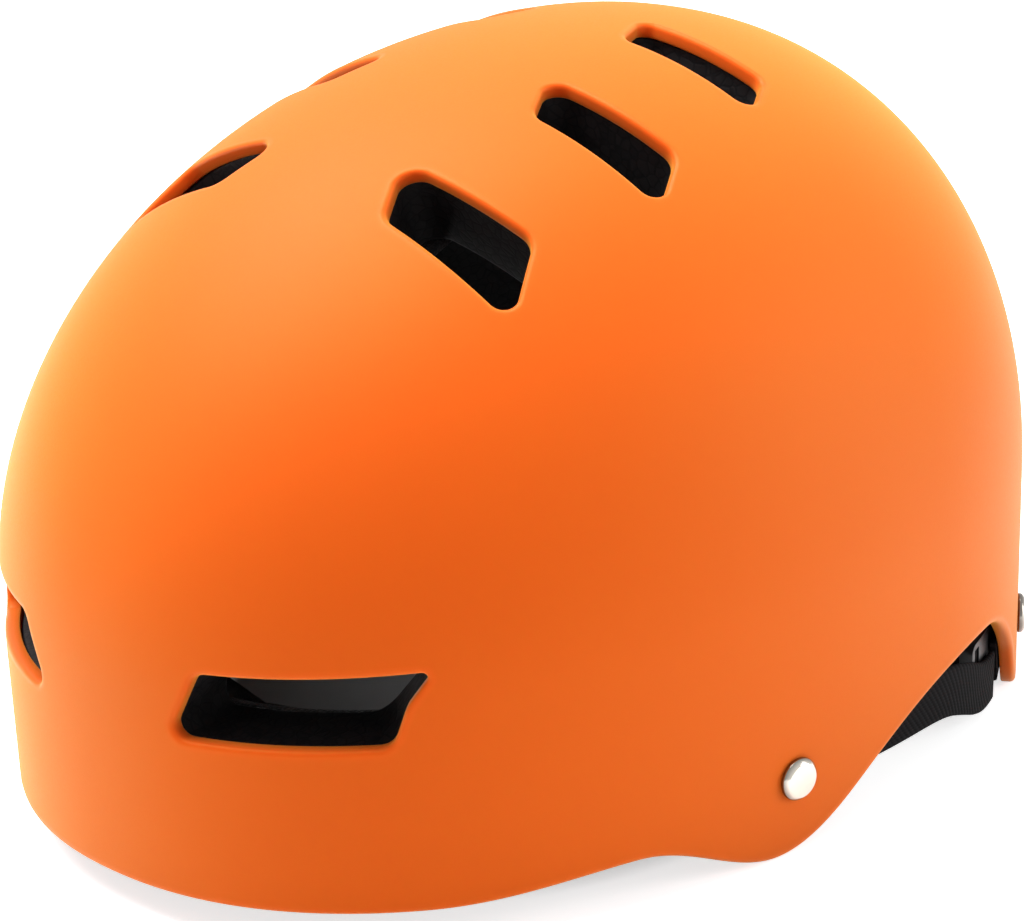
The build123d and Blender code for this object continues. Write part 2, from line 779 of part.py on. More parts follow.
def make_buckle_plug():
    """Male half: frame with ladder bars and the middle guide prong."""
    shoulder_x = socket_mouth_x - plug_gap
    back_x = shoulder_x - plug_length
    body = buckle_box(back_x, shoulder_x, buckle_width, plug_thickness, buckle_corner_radius)
    tip_x = window_start_x + window_length + prong_tip_length
    prong = Polyline(
        (shoulder_x - overrun, -prong_width / 2),
        (tip_x - prong_tip_length, -prong_width / 2),
        (tip_x, -prong_width / 4),
        (tip_x, prong_width / 4),
        (tip_x - prong_tip_length, prong_width / 2),
        (shoulder_x - overrun, prong_width / 2),
        close=True,
    )
    place = Pos(0, buckle_center_y, chin_height)
    body += place * extrude(Plane.XZ * make_face(prong), prong_thickness / 2, both=True)
    slot_width = strap_width + 2 * strap_fit
    bar_x = back_x + end_bar_length
    for first_x in (bar_x, bar_x + bar_slot_length + ladder_bar_length):
        slot_end = min(first_x + bar_slot_length, shoulder_x - overrun)
        body -= buckle_box(first_x, slot_end, slot_width, plug_thickness + overrun)
    for sign in (-1, 1):
        side = sign * (bar_half_thickness + plug_thickness / 2)
        trim = buckle_box(back_x - overrun, bar_x + bar_slot_length + ladder_bar_length, slot_width, plug_thickness)
        body -= Pos(0, side, 0) * trim
    root_x, root_z = arm_axis()
    for sign in (-1, 1):
        notch = extrude(Plane.XZ * Circle(arm_root_radius + arm_root_gap), plug_thickness, both=True)
        body -= place * Pos(root_x, 0, sign * root_z) * notch
    return body


def make_latch_arm():
    """Upper latch arm: round root, thin arm and a barb that fills its window."""
    root_x, root_z = arm_axis()
    half = arm_width / 2
    barb_start = window_start_x + barb_fit
    barb_end = barb_start + barb_length
    barb_rise = buckle_wall + arm_inset - barb_fit
    tip_x = barb_end + prong_tip_length
    outline = Polyline(
        (root_x, root_z - half),
        (tip_x, root_z - half),
        (tip_x, root_z),
        (barb_end, root_z + half + barb_rise),
        (barb_start, root_z + half + barb_rise),
        (barb_start, root_z + half),
        (root_x, root_z + half),
        close=True,
    )
    face = make_face(outline) + Pos(root_x, root_z) * Circle(arm_root_radius)
    arm = extrude(Plane.XZ * face, arm_thickness / 2, both=True)
    return Pos(0, buckle_center_y, chin_height) * arm


def build_nodes():
    nodes = {"outer_shell": make_outer_shell(), "foam_liner": make_foam_liner()}
    nodes.update(make_pads())
    nodes["hook_dots"] = make_hook_dots()
    for name, place, normal in rivet_places():
        rivet, washer = make_rivet(place, normal), make_washer(place, normal)
        nodes[f"rivet_{name}_left"], nodes[f"rivet_{name}_right"] = rivet, mirrored(rivet)
        nodes[f"washer_{name}_left"], nodes[f"washer_{name}_right"] = washer, mirrored(washer)
    for name, strap in make_wall_straps().items():
        nodes[f"strap_{name}_left"], nodes[f"strap_{name}_right"] = strap, mirrored(strap)
    for name, part in zip(("base", "pin", "lever"), make_divider()):
        nodes[f"divider_{name}_left"], nodes[f"divider_{name}_right"] = part, mirrored(part)
    nodes["chin_strap_left"] = make_chin_strap()
    strap, tail = make_adjusted_strap()
    nodes["chin_strap_right"], nodes["strap_tail"] = mirrored(strap), mirrored(tail)
    nodes["strap_keeper"] = mirrored(make_strap_keeper())
    nodes["chin_pad"] = make_chin_pad()
    nodes["buckle_socket"] = make_buckle_socket()
    nodes["buckle_plug"] = make_buckle_plug()
    upper = make_latch_arm()
    nodes["latch_arm_upper"] = upper
    nodes["latch_arm_lower"] = mirror(upper, Plane.XY.offset(chin_height))
    return nodes


def main():
    os.makedirs("parts", exist_ok=True)
    for name, part in build_nodes().items():
        export_step(part, f"parts/{name}.step")
        box = part.bounding_box()
        print(f"{name}: {len(part.solids())} solid, {part.volume:.0f} mm3, size {box.size}")


main()
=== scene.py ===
# %% [markdown]
# # A skateboard helmet, dressed for its photograph
# The helmet is a hard moulded shell over an impact foam liner, with soft pads, riveted webbing and a
# side release buckle. The CAD model is loaded first as a fixed frame. Each piece is then either given
# a better material, or replaced by a finer mesh that lies exactly where the CAD piece lies.

# %% Load the frame
import json
from math import atan2, copysign, cos, pi, radians, sin, sqrt

import bpy
import numpy as np
from mathutils import Matrix, Vector
from mathutils.geometry import delaunay_2d_cdt


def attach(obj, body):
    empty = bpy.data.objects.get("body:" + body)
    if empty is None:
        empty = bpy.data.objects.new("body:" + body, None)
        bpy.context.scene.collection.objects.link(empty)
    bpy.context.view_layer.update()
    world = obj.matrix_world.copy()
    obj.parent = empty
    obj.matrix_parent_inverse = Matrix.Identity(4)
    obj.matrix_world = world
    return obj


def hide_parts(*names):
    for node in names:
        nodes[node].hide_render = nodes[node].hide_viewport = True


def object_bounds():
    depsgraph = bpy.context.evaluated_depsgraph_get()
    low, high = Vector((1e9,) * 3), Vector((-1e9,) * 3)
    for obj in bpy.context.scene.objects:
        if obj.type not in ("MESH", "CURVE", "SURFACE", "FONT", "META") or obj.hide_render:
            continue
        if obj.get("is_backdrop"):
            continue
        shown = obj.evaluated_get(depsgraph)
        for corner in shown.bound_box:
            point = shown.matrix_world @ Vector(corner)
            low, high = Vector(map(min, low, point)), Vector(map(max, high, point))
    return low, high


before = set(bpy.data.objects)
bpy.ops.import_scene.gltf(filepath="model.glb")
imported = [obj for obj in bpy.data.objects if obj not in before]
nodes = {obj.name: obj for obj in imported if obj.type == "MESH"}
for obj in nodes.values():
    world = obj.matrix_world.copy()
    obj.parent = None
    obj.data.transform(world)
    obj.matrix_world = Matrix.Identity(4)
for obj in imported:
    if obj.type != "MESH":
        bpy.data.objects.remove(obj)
cad_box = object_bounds()
MM = 0.001
print("CAD box", [[round(v, 4) for v in corner] for corner in cad_box])

# %% [markdown]
# The camera comes first. Its place was found by fitting the shell's outline and vents to the photograph, so it is
# written as a place and two directions.

# %% Camera
CAMERA_PLACE = Vector((426.98, -470.69, 299.08)) * MM
CAMERA_RIGHT = Vector((0.74920, 0.66143, -0.03472))
CAMERA_UP = Vector((-0.20533, 0.28177, 0.93725))
CAMERA_BACK = CAMERA_RIGHT.cross(CAMERA_UP)
LENS_MM = 96.59


def linked(name, data):
    """A new object that carries some data, linked into the scene."""
    piece = bpy.data.objects.new(name, data)
    bpy.context.scene.collection.objects.link(piece)
    return piece


camera_data = bpy.data.cameras.new("camera")
camera_data.lens = LENS_MM
camera_data.sensor_width = 36
camera_data.sensor_fit = "HORIZONTAL"
camera_data.clip_start = 0.01
camera = linked("camera", camera_data)
turn = Matrix((CAMERA_RIGHT, CAMERA_UP, CAMERA_BACK)).transposed().to_4x4()
camera.matrix_world = Matrix.Translation(CAMERA_PLACE) @ turn
bpy.context.scene.camera = camera
print("camera distance", round(CAMERA_PLACE.length, 3), "m, lens", LENS_MM, "mm")

# %% [markdown]
# ## The dome
# The shell's form is a formula: a superellipse in plan, upright walls up to the waist, and above that
# each half size shrinks along its own superellipse. A point of the surface is named by a flat place
# (p, q): its distance from the middle says how far down from the crown, its direction says where
# round the plan. The shell can then be laid out flat, cut, and folded up again.

# %% The dome's sizes, in millimetres
HALF_WIDTH, FRONT_REACH, REAR_REACH = 108.0, 162.0, 108.0
CROWN_HEIGHT, WAIST_HEIGHT = 170.0, 56.0
CENTER_Y = (FRONT_REACH - REAR_REACH) / 2
PLAN_POWER, SIDE_POWER, FRONT_POWER, REAR_POWER = 2.15, 2.1, 1.95, 2.4
FLAT_CROWN = 150.0
print("dome", 2 * HALF_WIDTH, "x", FRONT_REACH + REAR_REACH, "x", CROWN_HEIGHT, "mm")


def signed_power(value, power):
    return np.sign(value) * np.abs(value) ** power


def kept_share(rise, power):
    """How much of its waist size the dome keeps where it has risen by a share of its height."""
    return np.maximum(0.0, 1.0 - np.clip(rise, 0, 1) ** power) ** (1 / power)


def fold(flat, inset=0.0):
    """Points of the dome, drawn in by an inset, for flat places."""
    flat = np.asarray(flat, float)
    inset = np.broadcast_to(np.asarray(inset, float), flat.shape[:1])
    down = np.hypot(flat[:, 0], flat[:, 1])
    way = np.arctan2(flat[:, 1], flat[:, 0])
    rise = np.where(down < FLAT_CROWN, np.sin((1 - np.minimum(down / FLAT_CROWN, 1)) * pi / 2), 0.0)
    across, along = np.cos(way), np.sin(way)
    power = np.where(along > 0, REAR_POWER, FRONT_POWER)
    reach = np.where(along > 0, REAR_REACH, FRONT_REACH) - inset
    x = (HALF_WIDTH - inset) * kept_share(rise, SIDE_POWER) * signed_power(across, 2 / PLAN_POWER)
    y = reach * kept_share(rise, power) * signed_power(along, 2 / PLAN_POWER)
    top = CROWN_HEIGHT - inset
    above, below = WAIST_HEIGHT + (top - WAIST_HEIGHT) * rise, WAIST_HEIGHT - (down - FLAT_CROWN)
    z = np.where(down < FLAT_CROWN, above, below)
    return np.column_stack((x, y + CENTER_Y, z))


# %% [markdown]
# Going back is needed too. A shape drawn in a flat plane, such as a vent's outline, is moved along a
# direction until it meets the dome, which halving the distance finds safely on any smooth form, and
# is then unfolded to flat places.

# %% Meeting and unfolding the dome
HALVINGS = 40


def half_sizes(points, inset=0.0):
    """Half width, reach and share of the rise of the dome at the heights of some points."""
    top = CROWN_HEIGHT - inset
    rise = np.clip((points[:, 2] - WAIST_HEIGHT) / (top - WAIST_HEIGHT), 0, 1)
    behind = points[:, 1] > CENTER_Y
    width = (HALF_WIDTH - inset) * kept_share(rise, SIDE_POWER)
    reach = np.where(behind, REAR_REACH, FRONT_REACH) - inset
    reach = reach * kept_share(rise, np.where(behind, REAR_POWER, FRONT_POWER))
    return np.maximum(width, 1e-6), np.maximum(reach, 1e-6), rise


def outside(points, inset=0.0):
    """Above zero outside the dome, below zero inside."""
    width, reach, rise = half_sizes(points, inset)
    over = points[:, 2] - (CROWN_HEIGHT - inset)
    along = np.abs(points[:, 1] - CENTER_Y) / reach
    plan = (np.abs(points[:, 0]) / width) ** PLAN_POWER + along ** PLAN_POWER - 1
    return np.where(over > 0, 1.0, plan)


def unfold(points, inset=0.0):
    """Flat places of points that lie on the dome."""
    width, reach, rise = half_sizes(points, inset)
    across = signed_power(points[:, 0] / width, PLAN_POWER / 2)
    along = signed_power((points[:, 1] - CENTER_Y) / reach, PLAN_POWER / 2)
    way = np.arctan2(along, across)
    above, below = FLAT_CROWN * (1 - np.arcsin(rise) * 2 / pi), FLAT_CROWN + WAIST_HEIGHT - points[:, 2]
    down = np.where(points[:, 2] > WAIST_HEIGHT, above, below)
    return np.column_stack((down * np.cos(way), down * np.sin(way)))


def onto_dome(points, direction, inset=0.0, reach=60.0):
    """Moves points along a direction, from outside inwards, until they meet the dome."""
    low, high = np.full(len(points), -reach), np.full(len(points), reach)
    for step in range(HALVINGS):
        middle = (low + high) / 2
        out = outside(points - middle[:, None] * direction, inset) > 0
        low, high = np.where(out, middle, low), np.where(out, high, middle)
    return points - ((low + high) / 2)[:, None] * direction


def unit(vectors):
    """Vectors brought to length one: a single vector, or one in each row."""
    return vectors / np.linalg.norm(vectors, axis=-1, keepdims=True)


def dome_direction(point, step=0.05):
    """Outward direction of the dome at a point on it."""
    return unit(np.array([
        float(outside(np.array([point + offset]))[0] - outside(np.array([point - offset]))[0])
        for offset in np.eye(3) * step
    ]))


# %% [markdown]
# ## Vents
# The shell has ten vents: on each side three over the top, one at the front and one behind. Each is a
# slanted slot with rounded corners. It could be drawn on the dome itself, but a slot is moulded with
# straight walls, so an outline is drawn in the vent's own flat plane, from its corners and their
# radii, and is then thrown onto the dome.

# %% Vent outlines
TOP_VENT_LENGTH, TOP_VENT_WIDTH = 42.0, 16.0
FRONT_VENT_LENGTH, FRONT_VENT_WIDTH = 55.0, 16.5
# Corners as shares of length and width, outward from the middle line first, then rearward or upward
FRONT_TOP_VENT = [(-0.57, 0.72, 4.5), (-0.40, -0.30, 5.0), (0.52, -0.74, 3.5), (0.32, 0.51, 5.5)]
MIDDLE_TOP_VENT = [(-0.55, 0.48, 4.0), (-0.37, -0.43, 5.0), (0.53, -0.48, 3.5), (0.34, 0.48, 5.5)]
REAR_TOP_VENT = [(-0.55, 0.36, 3.0), (-0.41, -0.54, 4.5), (0.49, -0.34, 3.5), (0.30, 0.51, 4.5)]
FRONT_VENT = [(-0.41, 0.44, 4.0), (-0.55, -0.52, 3.0), (0.345, -0.48, 4.0), (0.405, 0.07, 9.0), (0.51, 0.53, 1.2)]
# Side and forward places of the vents' middles as shares of half width and front reach
TOP_VENTS = [(0.391, -0.369, FRONT_TOP_VENT), (0.431, -0.096, MIDDLE_TOP_VENT), (0.358, 0.180, REAR_TOP_VENT)]
# The front vent and the one behind: towards which end, side place as a share of half width, and height
END_VENTS = [(-1, 0.445, 54.5), (1, 0.40, 72.0)]


def rounded_outline(corners, step=1.0, arc_share=0.6):
    """Closed outline through corners of (u, v, radius), with even steps along it and finer ones round corners."""
    count = len(corners)
    points = []
    for index in range(count):
        before, here, after = (np.array(corners[(index + k) % count][:2]) for k in (-1, 0, 1))
        radius = corners[index][2]
        to_before, to_after = unit(before - here), unit(after - here)
        half = np.arccos(np.clip(to_before @ to_after, -1, 1)) / 2
        cut = radius / np.tan(half)
        middle = here + unit(to_before + to_after) * radius / np.sin(half)
        first, last = here + to_before * cut - middle, here + to_after * cut - middle
        start = atan2(first[1], first[0])
        sweep = (atan2(last[1], last[0]) - start + pi) % (2 * pi) - pi
        steps = max(5, int(abs(sweep) * radius / (step * arc_share)))
        for k in range(steps + 1):
            angle = start + sweep * k / steps
            points.append(middle + radius * np.array((cos(angle), sin(angle))))
    outline = []
    for index, point in enumerate(points):
        after = points[(index + 1) % len(points)]
        pieces = max(1, int(round(np.linalg.norm(after - point) / step)))
        outline += [point + (after - point) * k / pieces for k in range(pieces)]
    outline = np.array(outline)
    area = np.sum(outline[:, 0] * np.roll(outline[:, 1], -1) - np.roll(outline[:, 0], -1) * outline[:, 1])
    return outline if area > 0 else outline[::-1]


def grown(outline, distance):
    """The outline moved outward by a distance."""
    way = unit(unit(np.roll(outline, -1, 0) - outline) + unit(outline - np.roll(outline, 1, 0)))
    return outline + distance * np.column_stack((way[:, 1], -way[:, 0]))


# %% Vents on the dome
def vent_frames():
    """Middle, two directions, normal and corners of each vent on the wearer's left."""
    found = []
    for side, forward, corners in TOP_VENTS:
        above = np.array([[side * HALF_WIDTH, forward * FRONT_REACH, CROWN_HEIGHT]])
        middle = onto_dome(above, np.array((0.0, 0.0, 1.0)), reach=CROWN_HEIGHT - WAIST_HEIGHT)[0]
        normal = dome_direction(middle)
        rearward = unit(np.array((0, normal[2], -normal[1])))
        outward = np.cross(rearward, normal)
        sized = [(u * TOP_VENT_LENGTH, v * TOP_VENT_WIDTH, radius) for u, v, radius in corners]
        found.append((middle, outward, rearward, normal, sized))
    for sign, side, height in END_VENTS:
        start = np.array([[side * HALF_WIDTH, sign * 2 * FRONT_REACH, height]])
        middle = onto_dome(start, np.array((0.0, sign, 0.0)), reach=2 * FRONT_REACH)[0]
        normal = dome_direction(middle)
        normal[2] = 0
        normal = unit(normal)
        level = np.array((-normal[1], normal[0], 0))
        sized = [(-sign * u * FRONT_VENT_LENGTH, v * FRONT_VENT_WIDTH, radius) for u, v, radius in FRONT_VENT]
        found.append((middle, level, np.array((0.0, 0.0, 1.0)), normal, sized))
    return found


def vent_ring(vent, distance):
    """Flat places of one vent's outline, grown by a distance."""
    middle, u_way, v_way, normal, corners = vent
    outline = grown(rounded_outline(corners), distance)
    points = middle + outline[:, :1] * u_way + outline[:, 1:] * v_way
    return unfold(onto_dome(points, normal))


VENTS = vent_frames()
for vent in VENTS:
    print("vent middle", np.round(vent[0], 1))

# %% [markdown]
# ## Rims
# A rim is the lower edge of a layer: low at the brow and the neck, raised over the ears. It could be
# cut with a curved surface, but its rounded edge needs rings at even distances. So it is written as
# a line of height against place along the helmet, as seen from the side, laid on the unrolled wall,
# where distances are true, and moved there.

# %% Rim lines
SHELL_RIM = [
    (-105.0, 8.0, 0.0), (-64.5, 11.0, 0.0), (-28.5, 0.0, 0.0), (4.0, 13.9, 0.58),
    (52.0, 28.8, 0.0), (72.5, 15.2, -1.25), (84.0, 0.0, 0.0),
]
PLAN_STEPS = 2000


def run_along(points):
    """Distance along a line from its start to each of its points."""
    return np.concatenate(([0], np.cumsum(np.linalg.norm(np.diff(points, axis=0), axis=1))))


def at_even_steps(points, count, closed=False):
    """A line's points moved to even distances along it."""
    run = run_along(points)
    even = np.linspace(0, run[-1], count, endpoint=not closed)
    return np.column_stack([np.interp(even, run, column) for column in points.T])


plan_ways = np.linspace(-pi / 2, pi / 2, PLAN_STEPS + 1)
plan_points = fold(np.column_stack((np.cos(plan_ways), np.sin(plan_ways))) * (FLAT_CROWN + 1))
plan_lengths = run_along(plan_points[:, :2])
print("half way round the wall", round(float(plan_lengths[-1])), "mm")


def curved_line(stations, step=1.0):
    """Smooth side view line through (y, height, slope) stations."""
    line = []
    for (y0, z0, s0), (y1, z1, s1) in zip(stations, stations[1:]):
        a, b = np.array((y0, z0)), np.array((y1, z1))
        chord = sqrt((y1 - y0) ** 2 + (z1 - z0) ** 2)
        way0 = np.array((1, s0)) / sqrt(1 + s0 * s0) * chord
        way1 = np.array((1, s1)) / sqrt(1 + s1 * s1) * chord
        for t in np.linspace(0, 1, max(8, int(chord / step)), endpoint=False):
            line.append(
                (2 * t**3 - 3 * t**2 + 1) * a + (t**3 - 2 * t**2 + t) * way0
                + (3 * t**2 - 2 * t**3) * b + (t**3 - t**2) * way1
            )
    line.append(np.array(stations[-1][:2]))
    return np.array(line)


def unrolled_rim(side_line, step=1.4):
    """The rim on the unrolled wall, from the middle of the front to the middle of the rear."""
    lengths = np.interp(side_line[:, 0], plan_points[:, 1], plan_lengths)
    lengths = np.concatenate(([0], lengths, [plan_lengths[-1]]))
    heights = np.concatenate(([side_line[0, 1]], side_line[:, 1], [side_line[-1, 1]]))
    line = np.column_stack((lengths, heights))
    return at_even_steps(line, int(run_along(line)[-1] / step))


def rim_ring(unrolled, distance):
    """Flat places of the rim, moved up into the wall by a distance."""
    way = unit(np.gradient(unrolled, axis=0))
    moved = unrolled + distance * np.column_stack((-way[:, 1], way[:, 0]))
    moved[:, 1] = np.maximum(moved[:, 1], unrolled[:, 1].min())
    moved[0, 0], moved[-1, 0] = 0.0, plan_lengths[-1]
    ways = np.interp(moved[:, 0], plan_lengths, plan_ways)
    down = FLAT_CROWN + WAIST_HEIGHT - moved[:, 1]
    flat = np.column_stack((down * np.cos(ways), down * np.sin(ways)))
    flat[0, 0] = flat[-1, 0] = 0.0
    return flat


# %% [markdown]
# ## A layer of the dome with rounded edges
# Shell and liner are both thick layers with vents and a rim. A Boolean cut would leave slivers along
# each vent, and a bevel on them would show as ragged shine. So the layer is laid out flat as an even
# net of points, the vents and the rim are left out of it by a Delaunay triangulation, and each edge
# gets its own rings that roll over a rounded lip. The net is folded up twice, once for the outer face
# and once for the inner one. Only the wearer's left is made, and a mirror modifier gives the other.

# %% Flat net
NET_CLEARANCE = 0.6


def inside_loop(points, loop):
    """Which flat points lie inside a closed loop."""
    inside = np.zeros(len(points), bool)
    for a, b in zip(loop, np.roll(loop, -1, 0)):
        if a[1] == b[1]:
            continue
        between = (a[1] > points[:, 1]) != (b[1] > points[:, 1])
        crossing = a[0] + (points[:, 1] - a[1]) / (b[1] - a[1]) * (b[0] - a[0])
        inside ^= between & (points[:, 0] < crossing)
    return inside


def in_layer(points, border, holes):
    """Which flat points lie inside the border and in none of the holes."""
    inside = inside_loop(points, border)
    for hole in holes:
        inside &= ~inside_loop(points, hole)
    return inside


def even_net(border, holes, spacing):
    """A square net of flat points that keeps clear of the border and the holes."""
    reach = FLAT_CROWN + WAIST_HEIGHT
    across, along = np.arange(spacing, reach, spacing), np.arange(-reach, reach, spacing)
    net = np.array([(x, y) for x in across for y in along])
    keep = in_layer(net, border, holes)
    for loop in [border] + holes:
        nearest = np.full(len(net), np.inf)
        for point in loop:
            nearest = np.minimum(nearest, np.hypot(net[:, 0] - point[0], net[:, 1] - point[1]))
        keep &= nearest > NET_CLEARANCE * spacing
    return net[keep]


def triangulated(net, border, holes):
    """Flat points and triangles between a border and its holes, and where each loop's points went."""
    parts = [net, border] + holes
    starts = np.cumsum([0] + [len(part) for part in parts])
    edges = []
    for part, start in zip(parts[1:], starts[1:]):
        edges += [(start + k, start + (k + 1) % len(part)) for k in range(len(part))]
    given = [Vector(point) for point in np.vstack(parts)]
    found = delaunay_2d_cdt(given, edges, [], 0, 1e-7)
    points = np.array([tuple(v) for v in found[0]])
    faces = np.array([tuple(f) for f in found[2]])
    faces = faces[in_layer(points[faces].mean(1), border, holes)]
    place = np.empty(len(given), int)
    for new, originals in enumerate(found[3]):
        for old in originals:
            place[old] = new
    return points, faces, [place[a:b] for a, b in zip(starts[1:], starts[2:])]


# %% [markdown]
# An edge is a profile of rings: each has a distance from the cut and a depth under the outer face. The
# first ring lies a little way back from the lip, so that the net ends where the form is still plain.

# %% Rounded edges
def edge_profile(thickness, lip, inner_lip, steps=5, inner_steps=2):
    """Distance from the cut and depth of each ring, from the outer face over the edge to the inner face."""
    margin = max(lip, inner_lip) + 1.0
    profile = [(margin, 0.0)]
    for k in range(steps + 1):
        angle = pi / 2 * k / steps
        profile.append((lip * (1 - sin(angle)), lip * (1 - cos(angle))))
    profile.append((0.0, (lip + thickness - inner_lip) / 2))
    for k in range(inner_steps + 1):
        angle = pi / 2 * k / inner_steps
        profile.append((inner_lip * (1 - cos(angle)), thickness - inner_lip * (1 - sin(angle))))
    profile.append((margin, thickness))
    return profile


def strip(before, after, closed):
    """Faces between two rings. The rim runs the other way than the vents, so its faces are turned."""
    faces = []
    for k in range(len(before) if closed else len(before) - 1):
        j = (k + 1) % len(before)
        if closed:
            quad = (before[k], before[j], after[j], after[k])
        else:
            quad = (before[j], before[k], after[k], after[j])
        faces.append(tuple(int(i) for i in quad))
    return faces


def mark_edge(mesh, values):
    """Stores how much each vertex belongs to an edge, for the finish to read."""
    mesh.attributes.new("edge", "FLOAT", "POINT").data.foreach_set("value", np.asarray(values, np.float32))


# %% [markdown]
# The liner's side cuts are made with a hot wire, which goes straight through the foam. Folding alone
# would let them follow the plan's directions, so the low part of the inner face is turned to match.

# %% Straight side cuts
STRAIGHTENED_BAND = 12.0
WALL_STATIONS = 200


def wall_way(y, inset):
    """Direction round the plan of a place along the wall, drawn in by an inset."""
    reach = np.where(y > CENTER_Y, REAR_REACH, FRONT_REACH) - inset
    return np.arcsin(np.clip(signed_power((y - CENTER_Y) / reach, PLAN_POWER / 2), -1, 1))


def straight_in(flat, inset, start_inset, front_y, rear_y):
    """Turns low flat places at an inset so that they lie straight behind those at the start inset."""
    down, way = np.hypot(flat[:, 0], flat[:, 1]), np.arctan2(flat[:, 1], flat[:, 0])
    ys = np.linspace(front_y, rear_y, WALL_STATIONS)
    before = np.concatenate(([-pi / 2], wall_way(ys, start_inset), [pi / 2]))
    after = np.concatenate(([-pi / 2], wall_way(ys, inset), [pi / 2]))
    low = np.clip((down - FLAT_CROWN) / STRAIGHTENED_BAND, 0, 1)
    way = way + (np.interp(way, before, after) - way) * low
    return np.column_stack((down * np.cos(way), down * np.sin(way)))


# %% [markdown]
# Some steps come back for every piece: selecting it alone, applying a modifier, turning its faces outward, and
# attaching it to its body while hiding the CAD nodes it stands for. Operators act on all that is selected, so the first
# of these comes before each of the others.

# %% Finishing helpers
def only(piece):
    """Selects one piece and makes it the one that operators act on."""
    bpy.ops.object.select_all(action="DESELECT")
    piece.select_set(True)
    bpy.context.view_layer.objects.active = piece


def apply_modifier(piece, kind, **settings):
    """Adds a modifier with its settings and applies it."""
    only(piece)
    modifier = piece.modifiers.new(kind.lower(), kind)
    for key, value in settings.items():
        setattr(modifier, key, value)
    bpy.ops.object.modifier_apply(modifier=modifier.name)


def outward_faces(piece):
    """Turns all faces of a closed piece outward."""
    only(piece)
    bpy.ops.object.mode_set(mode="EDIT")
    bpy.ops.mesh.select_all(action="SELECT")
    bpy.ops.mesh.normals_make_consistent(inside=False)
    bpy.ops.object.mode_set(mode="OBJECT")


def finish_halves(piece):
    """Mirrors the wearer's left to the right, joins the halves and smooths them."""
    apply_modifier(piece, "MIRROR", use_axis=(True, False, False), merge_threshold=2e-5)
    outward_faces(piece)
    bpy.ops.object.shade_smooth()


def stand_in(piece, body, slot, *stood_for):
    """Attaches a piece to the body it moves with, and hides the CAD nodes it stands for. The slot is not used."""
    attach(piece, body)
    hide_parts(*stood_for)


# %% [markdown]
# Now the parts of a layer are put together: the net twice, and for each vent and the rim the rings
# between the two faces.

# %% Layer maker
def with_middle_line(rim, spacing):
    """Closes a rim with points along the middle plane."""
    steps = int(np.abs(rim[-1, 1] - rim[0, 1]) / spacing)
    along = np.linspace(rim[-1, 1], rim[0, 1], steps + 1)[1:-1]
    return np.vstack((rim, np.column_stack((np.zeros(steps - 1), along))))


def domed_layer(name, inset, thickness, vent_growth, side_line, lip, inner_lip, spacing, wire_cut=None):
    """Closed layer of the dome with vents and a rim, both edges rounded."""

    def fold_in(flat, depth):
        if wire_cut and depth > 0:
            flat = straight_in(flat, inset + depth, inset, *wire_cut)
        return fold(flat, inset + depth)

    profile = edge_profile(thickness, lip, inner_lip)
    unrolled = unrolled_rim(side_line)
    vents = [[vent_ring(vent, vent_growth + distance) for distance, depth in profile] for vent in VENTS]
    rim = [rim_ring(unrolled, distance) for distance, depth in profile]
    border, holes = with_middle_line(rim[0], spacing), [rings[0] for rings in vents]
    net, faces, (on_border, *on_holes) = triangulated(even_net(border, holes, spacing), border, holes)

    points = [fold_in(net, 0.0), fold_in(net, thickness)]
    all_faces = [tuple(f) for f in faces] + [tuple(int(i) + len(net) for i in f[::-1]) for f in faces]
    count = 2 * len(net)
    edges = [(rings, first, True) for rings, first in zip(vents, on_holes)]
    edges.append((rim, on_border[:len(rim[0])], False))
    for rings, first, closed in edges:
        before = list(first)
        for ring, (distance, depth) in zip(rings[1:-1], profile[1:-1]):
            points.append(fold_in(ring, depth))
            after = list(range(count, count + len(ring)))
            count += len(ring)
            all_faces += strip(before, after, closed)
            before = after
        all_faces += strip(before, [i + len(net) for i in first], closed)
    mesh = bpy.data.meshes.new(name)
    mesh.from_pydata((np.vstack(points) * MM).tolist(), [], all_faces)
    mark_edge(mesh, np.arange(count) >= 2 * len(net))
    layer = linked(name, mesh)
    finish_halves(layer)
    print(name, "faces", len(layer.data.polygons))
    return layer


# %% [markdown]
# ## The shell
# Hard plastic, 3.5 mm thick, moulded in one piece. A sheet with a Solidify modifier would be quicker, but its vents
# would have square edges. Here the lips are rounded by about a millimetre, which shows as a bright line round each
# vent, made brighter by a painted light in the lips' colour.

# %% Outer shell
SHELL_WALL = 3.5
shell = domed_layer(
    "shell", 0.0, SHELL_WALL, 0.0, curved_line(SHELL_RIM), lip=1.3, inner_lip=0.4, spacing=2.4
)
stand_in(shell, "helmet", "shell_orange", "outer_shell")

# %% [markdown]
# ## The liner
# Impact foam, moulded to fill the shell, with a channel behind each vent that is a little larger than
# the vent, so that no foam shows past the lip. It is the same kind of layer as the shell, only thicker,
# with a rim of its own that leaves the ears and the straps free, so the same maker serves.

# %% Foam liner
LINER_INSET, LINER_THICKNESS, CHANNEL_GROWTH = 3.8, 20.0, 1.5
LINER_RIM = [
    (-71.5, 16.0, 0.0), (-61.0, 21.0, 0.96), (-45.5, 36.0, 0.96), (-34.5, 41.0, 0.0),
    (87.5, 41.0, 0.0), (98.5, 33.5, -2.23), (105.0, 18.7, -2.23), (112.5, 12.0, 0.0),
]
liner = domed_layer(
    "liner", LINER_INSET, LINER_THICKNESS, CHANNEL_GROWTH, curved_line(LINER_RIM),
    lip=0.8, inner_lip=1.6, spacing=3.6, wire_cut=(-66.0, 106.0),
)
stand_in(liner, "helmet", "liner_foam", "foam_liner")

# %% [markdown]
# ## Turned pieces
# A rivet is a flat headed pin with a sloping edge: its head sits outside, and its tail is rolled over
# a washer inside. A cylinder with edited rings would do, but a half profile that is spun about its own
# axis shows the whole shape in one list. The finished mesh is then turned to stand on the wall.

